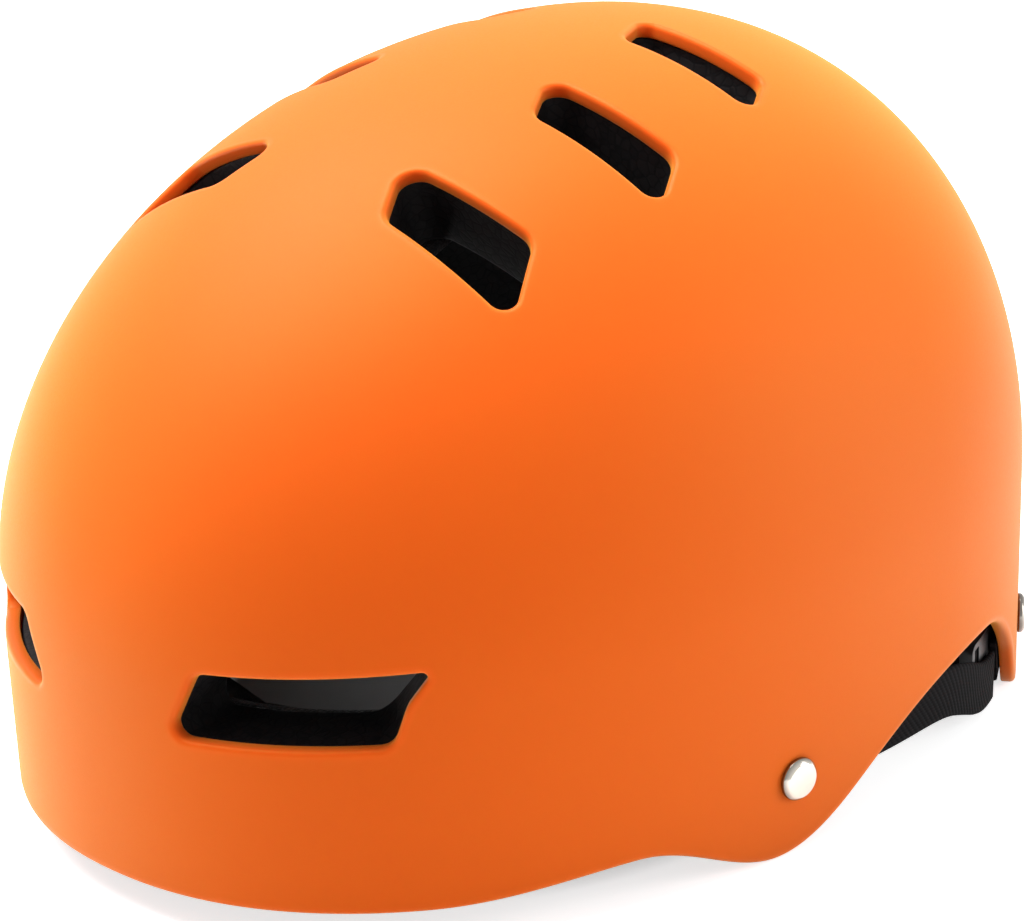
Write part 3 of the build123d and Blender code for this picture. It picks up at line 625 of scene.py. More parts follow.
# %% Turned piece maker
TURN_STEPS = 64
RIVET_HEAD_RADIUS, RIVET_HEAD_HEIGHT, RIVET_HEAD_SLOPE = 5.1, 2.0, 1.1


def smooth_step(value):
    """Zero to one with a soft start and end."""
    value = np.clip(value, 0, 1)
    return value * value * (3 - 2 * value)


def new_object(name, points, edges=(), faces=()):
    """A mesh object from points in millimetres."""
    mesh = bpy.data.meshes.new(name)
    places = [tuple(p) for p in np.asarray(points, float) * MM]
    mesh.from_pydata(places, list(edges), [tuple(map(int, f)) for f in faces])
    return linked(name, mesh)


def turned(name, profile, closed, bevel):
    """Spins a half profile of (radius, height) about the upright axis at the origin."""
    count = len(profile)
    edges = [(k, k + 1) for k in range(count - 1)] + ([(count - 1, 0)] if closed else [])
    piece = new_object(name, [(r, 0, h) for r, h in profile], edges)
    only(piece)
    bpy.ops.object.mode_set(mode="EDIT")
    bpy.ops.mesh.select_all(action="SELECT")
    bpy.ops.mesh.spin(steps=TURN_STEPS, angle=2 * pi, center=(0, 0, 0), axis=(0, 0, 1))
    bpy.ops.mesh.select_all(action="SELECT")
    bpy.ops.mesh.remove_doubles(threshold=0.002 * MM)
    bpy.ops.mesh.normals_make_consistent(inside=False)
    bpy.ops.object.mode_set(mode="OBJECT")
    apply_modifier(piece, "BEVEL", width=bevel * MM, segments=2, limit_method="ANGLE", angle_limit=radians(25))
    bpy.ops.object.shade_smooth_by_angle(angle=radians(28))
    radii = np.array([sqrt(v.co.x ** 2 + v.co.y ** 2) for v in piece.data.vertices]) / MM
    # Points near the rim of a turned piece, the slope of a rivet head, are marked, and the nickel finish paints a dark
    # reflection there.
    mark_edge(piece.data, smooth_step((radii - RIVET_HEAD_RADIUS + RIVET_HEAD_SLOPE - 0.1) / RIVET_HEAD_SLOPE))
    return piece


# %% [markdown]
# Rivets, washers and straps all sit on the upright wall, so they share one way to find a place there
# and the direction straight out of it.

# %% Places on the wall
JUST_BELOW_WAIST = 1.001 * FLAT_CROWN


def wall_place(y, height):
    """A place on the outer wall at the wearer's left, and the outward direction there."""
    way = wall_way(np.array([y]), 0.0)[0]
    place = fold([[JUST_BELOW_WAIST * cos(way), JUST_BELOW_WAIST * sin(way)]])[0]
    side = y - CENTER_Y
    reach = REAR_REACH if side > 0 else FRONT_REACH
    out = np.array((
        (place[0] / HALF_WIDTH) ** (PLAN_POWER - 1) / HALF_WIDTH,
        copysign((abs(side) / reach) ** (PLAN_POWER - 1) / reach, side), 0,
    ))
    return np.array((place[0], y, height)), unit(out)


def stood_on_wall(pattern, name, place, out, side):
    """A copy of a turned piece, stood on the wall at one side, with its place in its mesh."""
    piece = linked(name, pattern.data.copy())
    flip = np.array((side, 1, 1))
    turn = Vector(out * flip).to_track_quat("Z", "Y").to_matrix().to_4x4()
    piece.data.transform(Matrix.Translation(Vector(place * flip) * MM) @ turn)
    return piece


# %% Rivets and washers
RIVET_SHANK_RADIUS, RIVET_SEAT = 2.2, 0.05
WASHER_DEPTH, WASHER_THICKNESS, WASHER_RADIUS, WASHER_BORE = 5.65, 1.0, 5.5, 2.35
# Place along the helmet and height of each pair
RIVETS = {"front": (-23.4, 18.4), "rear": (90.0, 15.5)}
top = RIVET_SEAT + RIVET_HEAD_HEIGHT
washer_end = -WASHER_DEPTH - WASHER_THICKNESS
tail = washer_end - 0.25
rivet_pattern = turned("rivet_pattern", [
    (0, top), (RIVET_HEAD_RADIUS - RIVET_HEAD_SLOPE, top), (RIVET_HEAD_RADIUS - 0.1, top - RIVET_HEAD_SLOPE + 0.1),
    (RIVET_HEAD_RADIUS, RIVET_SEAT + 0.35), (RIVET_HEAD_RADIUS - 0.15, RIVET_SEAT), (RIVET_SHANK_RADIUS, RIVET_SEAT),
    (RIVET_SHANK_RADIUS, tail), (2.9, tail), (3.2, tail - 0.35), (2.7, tail - 0.9), (1.3, tail - 0.75),
    (0, tail - 0.35),
], closed=False, bevel=0.18)
washer_pattern = turned("washer_pattern", [
    (WASHER_BORE, -WASHER_DEPTH), (WASHER_RADIUS, -WASHER_DEPTH),
    (WASHER_RADIUS, washer_end), (WASHER_BORE, washer_end),
], closed=True, bevel=0.2)
metal_pieces = []
for end, (y, height) in RIVETS.items():
    place, out = wall_place(y, height)
    for side_name, side in (("left", 1), ("right", -1)):
        for kind, pattern in (("rivet", rivet_pattern), ("washer", washer_pattern)):
            node = f"{kind}_{end}_{side_name}"
            piece = stood_on_wall(pattern, f"{node}_turned", place, out, side)
            stand_in(piece, "helmet", "rivet_nickel", node)
            metal_pieces.append(piece)
for pattern in (rivet_pattern, washer_pattern):
    bpy.data.objects.remove(pattern)
print("turned pieces", len(metal_pieces))

# %% [markdown]
# ## Webbing
# The straps are flat woven webbing. A curve with a flat profile could be used, but it twists where the
# line turns. Here each strap is a band that follows a line, with its width held in a given direction,
# thin rounded edges, and its own UV map in centimetres, so that the weave runs along it.

# %% Lines and rings
STRAP_WIDTH, STRAP_THICKNESS = 13.0, 1.6
STRAP_INSET = 4.6
CHIN_HEIGHT = 11.75


def even_line(points, step=1.5):
    """Points at even steps along a line."""
    points = np.asarray(points, float)
    return at_even_steps(points, max(3, int(run_along(points)[-1] / step) + 1))


def softened(points, rounds=3, share=0.25):
    """A line whose corners are cut again and again, until they are round."""
    points = np.asarray(points, float)
    for _ in range(rounds):
        a, b = points[:-1], points[1:]
        cut = np.empty((2 * len(a), points.shape[1]))
        cut[0::2], cut[1::2] = a + (b - a) * share, b - (b - a) * share
        points = np.vstack((points[:1], cut[1:-1], points[-1:]))
    return points


def rings_mesh(name, rings, ends="cap", uv=None):
    """Closed rings joined one to the next. Ends are capped, or joined to each other."""
    count, size = len(rings), len(rings[0])
    faces = []
    for k in range(count if ends == "join" else count - 1):
        after = (k + 1) % count
        for j in range(size):
            i = (j + 1) % size
            faces.append((k * size + j, k * size + i, after * size + i, after * size + j))
    if ends == "cap":
        faces.append(tuple(range(size))[::-1])
        faces.append(tuple(range((count - 1) * size, count * size)))
    piece = new_object(name, np.vstack(rings), faces=faces)
    if uv is not None:
        uv = np.vstack(uv)
        layer = piece.data.uv_layers.new(name="weave")
        for loop in piece.data.loops:
            layer.data[loop.index].uv = uv[loop.vertex_index]
    outward_faces(piece)
    bpy.ops.object.shade_smooth_by_angle(angle=radians(50))
    return piece


# %% Webbing maker
def webbing(name, line, across):
    """A woven band along a line of points, with its width along the across directions."""
    ahead = unit(np.gradient(line, axis=0))
    across = unit(across - np.sum(across * ahead, axis=1)[:, None] * ahead)
    out = np.cross(ahead, across)
    half, flat = STRAP_WIDTH / 2, STRAP_THICKNESS / 2
    section = [(v, flat) for v in np.linspace(-half + flat, half - flat, 9)]
    section += [(half - flat + flat * cos(a), flat * sin(a)) for a in (pi / 4, 0, -pi / 4)]
    section += [(v, -flat) for v in np.linspace(half - flat, -half + flat, 9)]
    section += [(-half + flat - flat * cos(a), -flat * sin(a)) for a in (pi / 4, 0, -pi / 4)]
    run = run_along(line)
    rings = [np.array([p + a * v + o * n for v, n in section]) for p, a, o in zip(line, across, out)]
    uv = [np.array([(r / 10, v / 10) for v, n in section]) for r in run]
    print(f"{name}: {run[-1]:.0f} mm of webbing")
    return rings_mesh(name, rings, uv=uv)


def mirrored_piece(piece, name):
    """The wearer's right hand copy of a piece, with its own mesh."""
    other = linked(name, piece.data.copy())
    other.data.transform(Matrix.Scale(-1, 4, (1, 0, 0)))
    outward_faces(other)
    return other


# %% [markdown]
# On each side a long strap runs from the front rivet and a short one from the rear rivet, both to the
# divider under the ear. They lie flat on the inside of the wall, so each line is written as it is seen
# from the side, and every point of it is then set against the wall.

# %% Wall straps
def wall_strap(name, side_line):
    """A strap that lies on the inside of the wall and follows a line seen from the side."""
    places, outs = zip(*(wall_place(y, z) for y, z in even_line(softened(side_line))))
    outs = np.array(outs)
    line = np.array(places) - outs * STRAP_INSET
    return webbing(name, line, np.cross(outs, np.gradient(line, axis=0)))


FRONT_STRAP_LINE = [
    (-30.0, 19.4), (-23.4, 18.4), (18.0, 17.3), (32.0, 17.1), (41.0, 15.8), (50.0, 12.6), (60.0, 8.3), (70.5, 7.5),
]
REAR_STRAP_LINE = [(95.0, 17.2), (90.0, 15.5), (73.5, 9.7)]
strap_pieces = []
for end, side_line in (("front", FRONT_STRAP_LINE), ("rear", REAR_STRAP_LINE)):
    left = wall_strap(f"strap_{end}_left_woven", side_line)
    right = mirrored_piece(left, f"strap_{end}_right_woven")
    for piece, side_name in ((left, "left"), (right, "right")):
        stand_in(piece, "helmet", "webbing", f"strap_{end}_{side_name}")
        strap_pieces.append(piece)
print("wall straps", len(strap_pieces))

# %% [markdown]
# The chin strap leaves the divider and runs in a long arc to the buckle, tucked up inside the helmet.
# The left one is sewn round the socket's end bar. The right one goes round the plug's ladder bar, and
# its tail lies behind it. Both stand upright, so a line drawn in plan is enough.

# %% Chin straps
BUCKLE_Y = 44.0
ARC_CENTER, ARC_RADIUS = (21.9, 231.553), 187.553
STRAP_START = [(98.0, 58.9), (92.5, 57.3)]
BAR_SIDE = 3.1


def arc_place(along, offset=0.0):
    """A plan place on the chin strap's arc, a distance from the buckle, moved forward by an offset."""
    angle = along / ARC_RADIUS
    radius = ARC_RADIUS + offset
    return (ARC_CENTER[0] + radius * sin(angle), ARC_CENTER[1] - radius * cos(angle))


def level_webbing(name, plan):
    """Webbing that stands upright on a line drawn in plan."""
    plan = even_line(plan)
    line = np.column_stack((plan, np.full(len(plan), CHIN_HEIGHT)))
    return webbing(name, line, np.tile((0, 0, 1.0), (len(line), 1)))


front, back = BUCKLE_Y - BAR_SIDE, BUCKLE_Y + BAR_SIDE
sewn = STRAP_START + [arc_place(s) for s in np.linspace(66, 24, 12)]
sewn += [arc_place(17, 0.4), arc_place(10, 0.85), (25.5, front + 1.2), (22.6, front), (18.4, front), (16.4, front)]
sewn += [(15.7, BUCKLE_Y - 1.6), (15.7, BUCKLE_Y + 1.6), (16.4, back), (18.4, back), (22.6, back - 0.4)]
sewn += [(26.0, back - 1.2), arc_place(9, -0.85), arc_place(16, -0.85)]
left_chin = level_webbing("chin_strap_left_woven", softened(sewn, rounds=2))
stand_in(left_chin, "helmet", "webbing", "chin_strap_left")

wound = STRAP_START + [arc_place(s) for s in np.linspace(66, 16, 14)]
wound += [(29.0, front + 2.4), (25.0, front), (19.0, front), (13.6, front)]
wound += [(12.5, BUCKLE_Y - 1.4), (12.5, BUCKLE_Y + 1.4), (13.6, back), (17.0, back), (23.6, back), (27.0, back - 0.5)]
wound += [arc_place(s, -2.1) for s in (13, 18, 24, 30, 36, 42, 46)]
right_chin = level_webbing("chin_strap_right_woven", softened(wound, rounds=2) * (-1, 1))
stand_in(right_chin, "helmet", "webbing", "chin_strap_right", "strap_tail")
strap_pieces += [left_chin, right_chin]
print("webbing pieces", len(strap_pieces))

# %% [markdown]
# ## Pads
# The comfort pads are foam in brushed knit, welded flat round their edge. A bevelled block would look
# like a block. So each starts as rings that close in on a rounded outline, thrown onto the dome behind
# it: thin at the welded edge, thick in the middle. A short cloth simulation with a little air pressure
# then swells them, with the edge held, and gives the soft, slightly uneven top of a stuffed piece.

# %% Pad maker
PAD_BACK_INSET, PAD_BACK_HEIGHT, PAD_THICKNESS = 25.7, 0.1, 8.0
PAD_EDGE_THICKNESS, PAD_EDGE_WIDTH, PAD_SHOULDER = 2.2, 2.6, 6.0
PAD_SHARES = (1.0, 0.965, 0.92, 0.87, 0.8, 0.72, 0.62, 0.5, 0.36, 0.2, 0.08)


def cushion(name, length, width, corner, place_on):
    """A pad with a welded edge. place_on puts flat (a, b) places at an inset onto the dome."""
    a, b = length / 2, width / 2
    outline = rounded_outline([(-a, -b, corner), (a, -b, corner), (a, b, corner), (-a, b, corner)], step=2.6)
    core = np.column_stack((np.clip(outline[:, 0], -(a - b), a - b), np.zeros(len(outline))))
    size = len(outline)

    def ring(share, height):
        """A ring that keeps a share of the way from the core to the outline, at a height over the pad's back."""
        return place_on(core + (outline - core) * share, np.full(size, PAD_BACK_INSET + height))

    backs, fronts = [], []
    for share in PAD_SHARES:
        rise = smooth_step(((1 - share) * b - PAD_EDGE_WIDTH) / PAD_SHOULDER)
        backs.append(ring(share, PAD_BACK_HEIGHT))
        fronts.append(ring(share, PAD_EDGE_THICKNESS + (PAD_THICKNESS - PAD_EDGE_THICKNESS) * rise))
    edge = place_on(outline + (outline - core) * 0.004, np.full(size, PAD_BACK_INSET + PAD_EDGE_THICKNESS / 2))
    pad = rings_mesh(name, backs[::-1] + [edge] + fronts)
    swell(pad, list(range((len(PAD_SHARES) - 3) * size, (len(PAD_SHARES) + 4) * size)))
    bpy.ops.object.shade_smooth()
    apply_modifier(pad, "SUBSURF", levels=1, render_levels=1)
    return pad


# %% Air pressure
CLOTH = {
    "use_pressure": True, "uniform_pressure_force": 2.5, "vertex_group_mass": "welded_edge", "quality": 5,
    "tension_stiffness": 8, "compression_stiffness": 4, "shear_stiffness": 3, "bending_stiffness": 0.1,
}
SWELL_FRAMES, LARGEST_MOVE = 12, 1.4


def swell(piece, held):
    """Lets air pressure swell a cloth piece, with its edge held, and caps how far a point may move."""
    only(piece)
    before = np.array([v.co for v in piece.data.vertices])
    group = piece.vertex_groups.new(name="welded_edge")
    group.add(held, 1.0, "REPLACE")
    cloth = piece.modifiers.new("cloth", "CLOTH")
    for key, value in CLOTH.items():
        setattr(cloth.settings, key, value)
    cloth.settings.effector_weights.gravity = 0
    for number in range(1, SWELL_FRAMES + 1):
        bpy.context.scene.frame_set(number)
    shaped = piece.evaluated_get(bpy.context.evaluated_depsgraph_get()).data
    after = np.array([v.co for v in shaped.vertices])
    piece.modifiers.remove(cloth)
    bpy.context.scene.frame_set(1)
    move = after - before
    size = np.linalg.norm(move, axis=1)
    move *= np.minimum(1, LARGEST_MOVE * MM / np.maximum(size, 1e-9))[:, None]
    piece.data.vertices.foreach_set("co", (before + move).ravel())
    piece.data.update()
    piece.vertex_groups.clear()
    print(piece.name, "swelled by up to", round(float(size.max()) * 1000, 2), "mm")


# %% [markdown]
# A pad at the brow, one at the neck, one at each side and a long one under the crown carry the helmet
# on the head. Each is thrown onto the dome from inside: from a start place, along a direction, with
# its length and width laid along two more.

# %% Five pads
X_WAY, Y_WAY, Z_WAY = np.eye(3)
THROW = 100.0
# Length, width, corner radius, start place, direction, way of the length, way of the width
PADS = {
    "brow_pad": (118, 24, 9, (0, CENTER_Y - THROW, 31), -Y_WAY, X_WAY, Z_WAY),
    "rear_pad": (96, 30, 9, (0, CENTER_Y + THROW, 43), Y_WAY, X_WAY, Z_WAY),
    "side_pad_left": (96, 30, 9, (THROW, 18, 68), X_WAY, Y_WAY, Z_WAY),
    "crown_pad": (128, 32, 14.7, (0, 4, 110), Z_WAY, Y_WAY, X_WAY),
}


def thrown(start, direction, length_way, width_way):
    """A function that puts flat (a, b) places at an inset onto the dome."""
    def place_on(flat, inset):
        places = np.array(start) + flat[:, :1] * length_way + flat[:, 1:] * width_way
        return onto_dome(places, direction, inset, reach=THROW)
    return place_on


pads = {}
for node, (length, width, corner, *way) in PADS.items():
    pads[node] = cushion(f"{node}_knit", length, width, corner, thrown(*way))
pads["side_pad_right"] = mirrored_piece(pads["side_pad_left"], "side_pad_right_knit")
for node, pad in pads.items():
    stand_in(pad, "helmet", "pad_fabric", node)
print("pads", len(pads))

# %% [markdown]
# The chin pad is a padded sleeve that slides on the left chin strap. A cube with a hole would need many
# loops to look soft. So it is a row of rounded rings along the strap's arc, fullest in the middle and
# drawn in at the bound edge of each end, and it goes back inside as a flat slot for the strap.

# %% Chin pad
SLEEVE_START, SLEEVE_LENGTH = 30.0, 30.0
SLEEVE_SLOT, SLEEVE_HALF = np.array((1.3, 7.0)), np.array((3.7, 9.4))
SLEEVE_SHARES = (0.0, 0.012, 0.04, 0.075, 0.11, 0.16, 0.24, 0.36, 0.5, 0.64, 0.76, 0.84, 0.89, 0.925, 0.96, 0.988, 1.0)
RING_POINTS = 72


def sleeve_ring(share, half, corner):
    """A rounded rectangle across the chin strap's arc, at a share of the sleeve's length."""
    out, up = half
    corners = [(-out, -up, corner), (out, -up, corner), (out, up, corner), (-out, up, corner)]
    along = SLEEVE_START + SLEEVE_LENGTH * share
    ring = np.array([(*arc_place(along, a), CHIN_HEIGHT + b) for a, b in rounded_outline(corners, step=1.2)])
    start = int(np.argmax(ring[:, 2] - ring[:, 1] * 1e-3))
    return at_even_steps(np.vstack((np.roll(ring, -start, 0), ring[start:start + 1])), RING_POINTS, closed=True)


def outer_ring(share):
    """A ring of the sleeve's outside: full in the middle, drawn in towards each end, with a bound edge."""
    edge = min(share, 1 - share) * SLEEVE_LENGTH
    fullness = 1.0 - 0.45 * (1 - smooth_step((edge - 1.6) / 4.5)) + (0.10 if 0.5 < edge < 1.9 else 0)
    half = SLEEVE_SLOT + (SLEEVE_HALF - SLEEVE_SLOT) * (fullness if edge > 0.2 else 0.35)
    return sleeve_ring(share, half, min(half[0] - 0.1, 3.0))


rings = [outer_ring(share) for share in SLEEVE_SHARES]
rings += [sleeve_ring(share, SLEEVE_SLOT, 0.9) for share in (1.0, 0.5, 0.0)]
chin_pad = rings_mesh("chin_pad_knit", rings, ends="join")
bpy.ops.object.shade_smooth_by_angle(angle=radians(70))
stand_in(chin_pad, "pad_sleeve", "pad_fabric", "chin_pad")
print("chin pad points", len(chin_pad.data.vertices))

# %% [markdown]
# ## Moulded plastic pieces
# The dividers, the keeper and the buckle have the right shape in CAD, but every edge of a moulded part
# is a little round. They could be modelled again, but only the edges are wanting. So each is copied,
# its triangles are merged into flat faces, and its sharp edges are bevelled.

# %% Eased copies of CAD nodes
MERGE_DISTANCE, FLAT_ANGLE, SHARP_ANGLE = 0.01, 1.5, 32


def eased_copy(node, suffix, width, body, slot, segments=2):
    """A copy of a CAD node with its sharp edges rounded."""
    piece = linked(f"{node}_{suffix}", nodes[node].data.copy())
    only(piece)
    bpy.ops.object.mode_set(mode="EDIT")
    bpy.ops.mesh.select_all(action="SELECT")
    bpy.ops.mesh.remove_doubles(threshold=MERGE_DISTANCE * MM)
    bpy.ops.mesh.dissolve_limited(angle_limit=radians(FLAT_ANGLE))
    bpy.ops.object.mode_set(mode="OBJECT")
    sharp = radians(SHARP_ANGLE)
    apply_modifier(piece, "BEVEL", width=width * MM, segments=segments, limit_method="ANGLE", angle_limit=sharp)
    bpy.ops.object.shade_smooth_by_angle(angle=sharp)
    stand_in(piece, body, slot, node)
    return piece


# Node, width of the rounded edge, body and segments
MOULDED = [
    ("buckle_socket", 0.45, "helmet", 3), ("buckle_plug", 0.35, "helmet", 3),
    ("latch_arm_upper", 0.25, "arm_upper", 2), ("latch_arm_lower", 0.25, "arm_lower", 2),
    ("divider_base_left", 0.35, "helmet", 2), ("divider_base_right", 0.35, "helmet", 2),
    ("divider_lever_left", 0.3, "lever_left", 2), ("divider_lever_right", 0.3, "lever_right", 2),
]
plastic_pieces = [
    eased_copy(node, "moulded", width, body, "buckle_plastic", segments) for node, width, body, segments in MOULDED
]
keeper_piece = eased_copy("strap_keeper", "moulded", 0.4, "keeper", "keeper_rubber")
pin_pieces = [eased_copy(f"divider_pin_{side}", "drawn", 0.15, "helmet", "pin_steel") for side in ("left", "right")]
print("eased pieces", len(plastic_pieces) + 1 + len(pin_pieces))

# %% [markdown]
# ## Finishes
# Each finish is a Principled BSDF fed by procedural textures in object coordinates. Photographs could
# be wrapped round the pieces, but would need an even layout of each and show their pixels close up.

# %% Node helpers
def fill(tree, node, values):
    """Sets a node's inputs to numbers, or links them to sockets."""
    for key, value in values.items():
        if isinstance(value, bpy.types.NodeSocket):
            tree.links.new(value, node.inputs[key])
        else:
            node.inputs[key].default_value = value


def add_node(tree, kind, values=None, **settings):
    """Adds a node with its settings and its inputs."""
    node = tree.nodes.new(kind)
    for key, value in settings.items():
        setattr(node, key, value)
    fill(tree, node, values or {})
    return node


def math(tree, operation, first, second=0.0, third=0.0):
    """The result of a calculation with up to three numbers or sockets."""
    return add_node(tree, "ShaderNodeMath", {0: first, 1: second, 2: third}, operation=operation).outputs[0]


def remap(tree, value, low, high, new_low, new_high):
    """A value moved from one range to another and held inside it."""
    values = {"Value": value, 1: low, 2: high, 3: new_low, 4: new_high}
    return add_node(tree, "ShaderNodeMapRange", values).outputs["Result"]


def new_group(name, inputs, outputs):
    """A shader node group with a Vector input, named number inputs, and named number outputs."""
    group = bpy.data.node_groups.new(name, "ShaderNodeTree")
    group.interface.new_socket(name="Vector", in_out="INPUT", socket_type="NodeSocketVector")
    for socket_name, value in inputs:
        socket = group.interface.new_socket(name=socket_name, in_out="INPUT", socket_type="NodeSocketFloat")
        socket.default_value = value
    for socket_name in outputs:
        group.interface.new_socket(name=socket_name, in_out="OUTPUT", socket_type="NodeSocketFloat")
    print("pattern", name, "gives", ", ".join(outputs))
    return group, group.nodes.new("NodeGroupInput").outputs, group.nodes.new("NodeGroupOutput").inputs


# %% [markdown]
# Four patterns serve all finishes. Each is a node group, so that it is built once and every finish can
# give it a scale of its own. Moulded plastic has a very fine grain, and broad, faint patches.

# %% Moulded grain
grain, given, out = new_group("moulded_grain", [("Scale", 1500.0)], ["Height", "Patches"])
fine = add_node(grain, "ShaderNodeTexNoise", {
    "Vector": given["Vector"], "Scale": given["Scale"], "Detail": 3.0, "Roughness": 0.6,
})
broad = add_node(grain, "ShaderNodeTexNoise", {
    "Vector": given["Vector"], "Scale": math(grain, "MULTIPLY", given["Scale"], 0.012), "Detail": 2.0, "Roughness": 0.5,
})
grain.links.new(fine.outputs["Fac"], out["Height"])
grain.links.new(broad.outputs["Fac"], out["Patches"])

# %% [markdown]
# Twill webbing has slanted ribs crossed by its threads. Both are sine waves along the strap's UV map.

# %% Twill weave
twill, given, out = new_group("twill_weave", [("Ribs", 6.0), ("Threads", 14.0)], ["Height", "Groove"])
parts = add_node(twill, "ShaderNodeSeparateXYZ", {0: given["Vector"]})
along, across = parts.outputs["X"], parts.outputs["Y"]
slanted = math(twill, "MULTIPLY", math(twill, "MULTIPLY_ADD", across, 0.8, along), given["Ribs"])
ribs = math(twill, "SINE", math(twill, "MULTIPLY", slanted, 2 * pi))
threads = math(twill, "SINE", math(twill, "MULTIPLY", math(twill, "MULTIPLY", across, given["Threads"]), 2 * pi))
height = math(twill, "MULTIPLY_ADD", ribs, 0.36, 0.5)
height = math(twill, "MULTIPLY_ADD", threads, 0.12, height)
twill.links.new(height, out["Height"])
twill.links.new(remap(twill, height, 0.1, 0.55, 1.0, 0.0), out["Groove"])

# %% [markdown]
# Brushed knit is a field of small loops with loose fibres over them: round cells with fine noise on top.

# %% Brushed knit
fleece, given, out = new_group("brushed_knit", [("Scale", 900.0)], ["Height", "Tips"])
loops = add_node(fleece, "ShaderNodeTexVoronoi", {
    "Vector": given["Vector"], "Scale": given["Scale"], "Randomness": 0.75,
})
fibres = add_node(fleece, "ShaderNodeTexNoise", {
    "Vector": given["Vector"], "Scale": math(fleece, "MULTIPLY", given["Scale"], 3.1), "Detail": 4.0,
})
height = math(fleece, "SUBTRACT", 1.0, loops.outputs["Distance"])
height = math(fleece, "MULTIPLY_ADD", fibres.outputs["Fac"], 0.6, height)
fleece.links.new(height, out["Height"])
fleece.links.new(remap(fleece, height, 0.8, 1.25, 0.0, 1.0), out["Tips"])

# %% [markdown]
# Metal has fine scratches that run one way, which is noise stretched along one axis, and a few worn spots.

# %% Fine scratches
brushed, given, out = new_group("fine_scratches", [("Scale", 900.0)], ["Height", "Marks"])
stretched = add_node(brushed, "ShaderNodeVectorMath", {0: given["Vector"], 1: (1.0, 1.0, 0.12)}, operation="MULTIPLY")
lines = add_node(brushed, "ShaderNodeTexNoise", {
    "Vector": stretched.outputs[0], "Scale": given["Scale"], "Detail": 5.0, "Roughness": 0.65,
})
marks = add_node(brushed, "ShaderNodeTexNoise", {
    "Vector": given["Vector"], "Scale": math(brushed, "MULTIPLY", given["Scale"], 0.22), "Detail": 4.0,
})
brushed.links.new(lines.outputs["Fac"], out["Height"])
brushed.links.new(remap(brushed, marks.outputs["Fac"], 0.45, 0.7, 0.0, 1.0), out["Marks"])

# %% [markdown]
# A finish then takes three steps that repeat: a shader with its plain values, a pattern that tints and
# raises it, and sometimes a roughness that follows the pattern. Each step is a helper.

# %% Finish maker
def finish(name, color, roughness, more=None):
    """A material with a Principled BSDF, and its tree, shader and object coordinates."""
    material = bpy.data.materials.new(name)
    material.use_nodes = True
    tree = material.node_tree
    shader = tree.nodes["Principled BSDF"]
    fill(tree, shader, {"Base Color": (*color, 1), "Roughness": roughness, **(more or {})})
    print("finish", name)
    return material, tree, shader, add_node(tree, "ShaderNodeTexCoord").outputs["Object"]


def tint(tree, shader, mask, dark, light):
    """Base colour between two colours by a mask."""
    mix = add_node(tree, "ShaderNodeMix", {"Factor": mask, 6: (*dark, 1), 7: (*light, 1)}, data_type="RGBA")
    fill(tree, shader, {"Base Color": mix.outputs[2]})
    return mix


def raise_by(tree, shader, height, depth_mm, strength):
    """Relief from a height, without any change to the mesh."""
    bump = add_node(tree, "ShaderNodeBump", {"Strength": strength, "Distance": depth_mm * MM, "Height": height})
    fill(tree, shader, {"Normal": bump.outputs["Normal"]})


def lay_pattern(tree, shader, group, place, depth_mm, strength, colors=None, **values):
    """Lays a pattern on a finish: relief from its height, and two colours by one of its masks."""
    pattern = add_node(tree, "ShaderNodeGroup", {"Vector": place, **values}, node_tree=group).outputs
    if colors:
        mask, dark, light = colors
        tint(tree, shader, pattern[mask], dark, light)
    raise_by(tree, shader, pattern["Height"], depth_mm, strength)
    return pattern


def roughen(tree, shader, mask, low, high, least, most):
    """Roughness that follows a mask."""
    fill(tree, shader, {"Roughness": remap(tree, mask, low, high, least, most)})


def edge_mark(tree):
    """How much a place belongs to an edge, as the makers marked it."""
    return add_node(tree, "ShaderNodeAttribute", attribute_name="edge").outputs["Fac"]


# %% [markdown]
# The shell is painted matte: light spreads widely on it, with a soft pale rim where the surface turns away, which sheen
# gives better than a rough highlight. A fine grain breaks up what gloss is left. Its lips are a little glossier, and
# their colour is a little brighter, a painted light on the lip walls, and light passes a few millimetres into the
# plastic.

# %% Shell finish
PAINT_COLORS = (0.72, 0.056, 0.0008), (0.74, 0.063, 0.0010)
PAINTED_LIP_LIGHT_COLOR = (0.76, 0.060, 0.002)
orange, tree, shader, place = finish("matte_orange_shell", PAINT_COLORS[0], 0.5, {
    "Sheen Weight": 0.48, "Sheen Tint": (1.0, 0.72, 0.12, 1), "Sheen Roughness": 0.7,
    "Specular IOR Level": 0.22, "Specular Tint": (1.0, 0.8, 0.15, 1),
    "Subsurface Weight": 0.3, "Subsurface Radius": (1.0, 0.2, 0.04), "Subsurface Scale": 5.0 * MM,
})
pattern = lay_pattern(tree, shader, grain, place, 0.03, 0.5, Scale=1700.0)
paint = tint(tree, shader, pattern["Patches"], *PAINT_COLORS)
edge = edge_mark(tree)
# The lips' lighter colour is a painted light on the lip walls.
lip_light_mix = tint(tree, shader, edge, PAINT_COLORS[0], PAINTED_LIP_LIGHT_COLOR)
fill(tree, lip_light_mix, {6: paint.outputs[2]})
rough = remap(tree, pattern["Height"], 0.3, 0.7, 0.46, 0.54)
fill(tree, shader, {"Roughness": math(tree, "MULTIPLY_ADD", edge, -0.12, rough)})
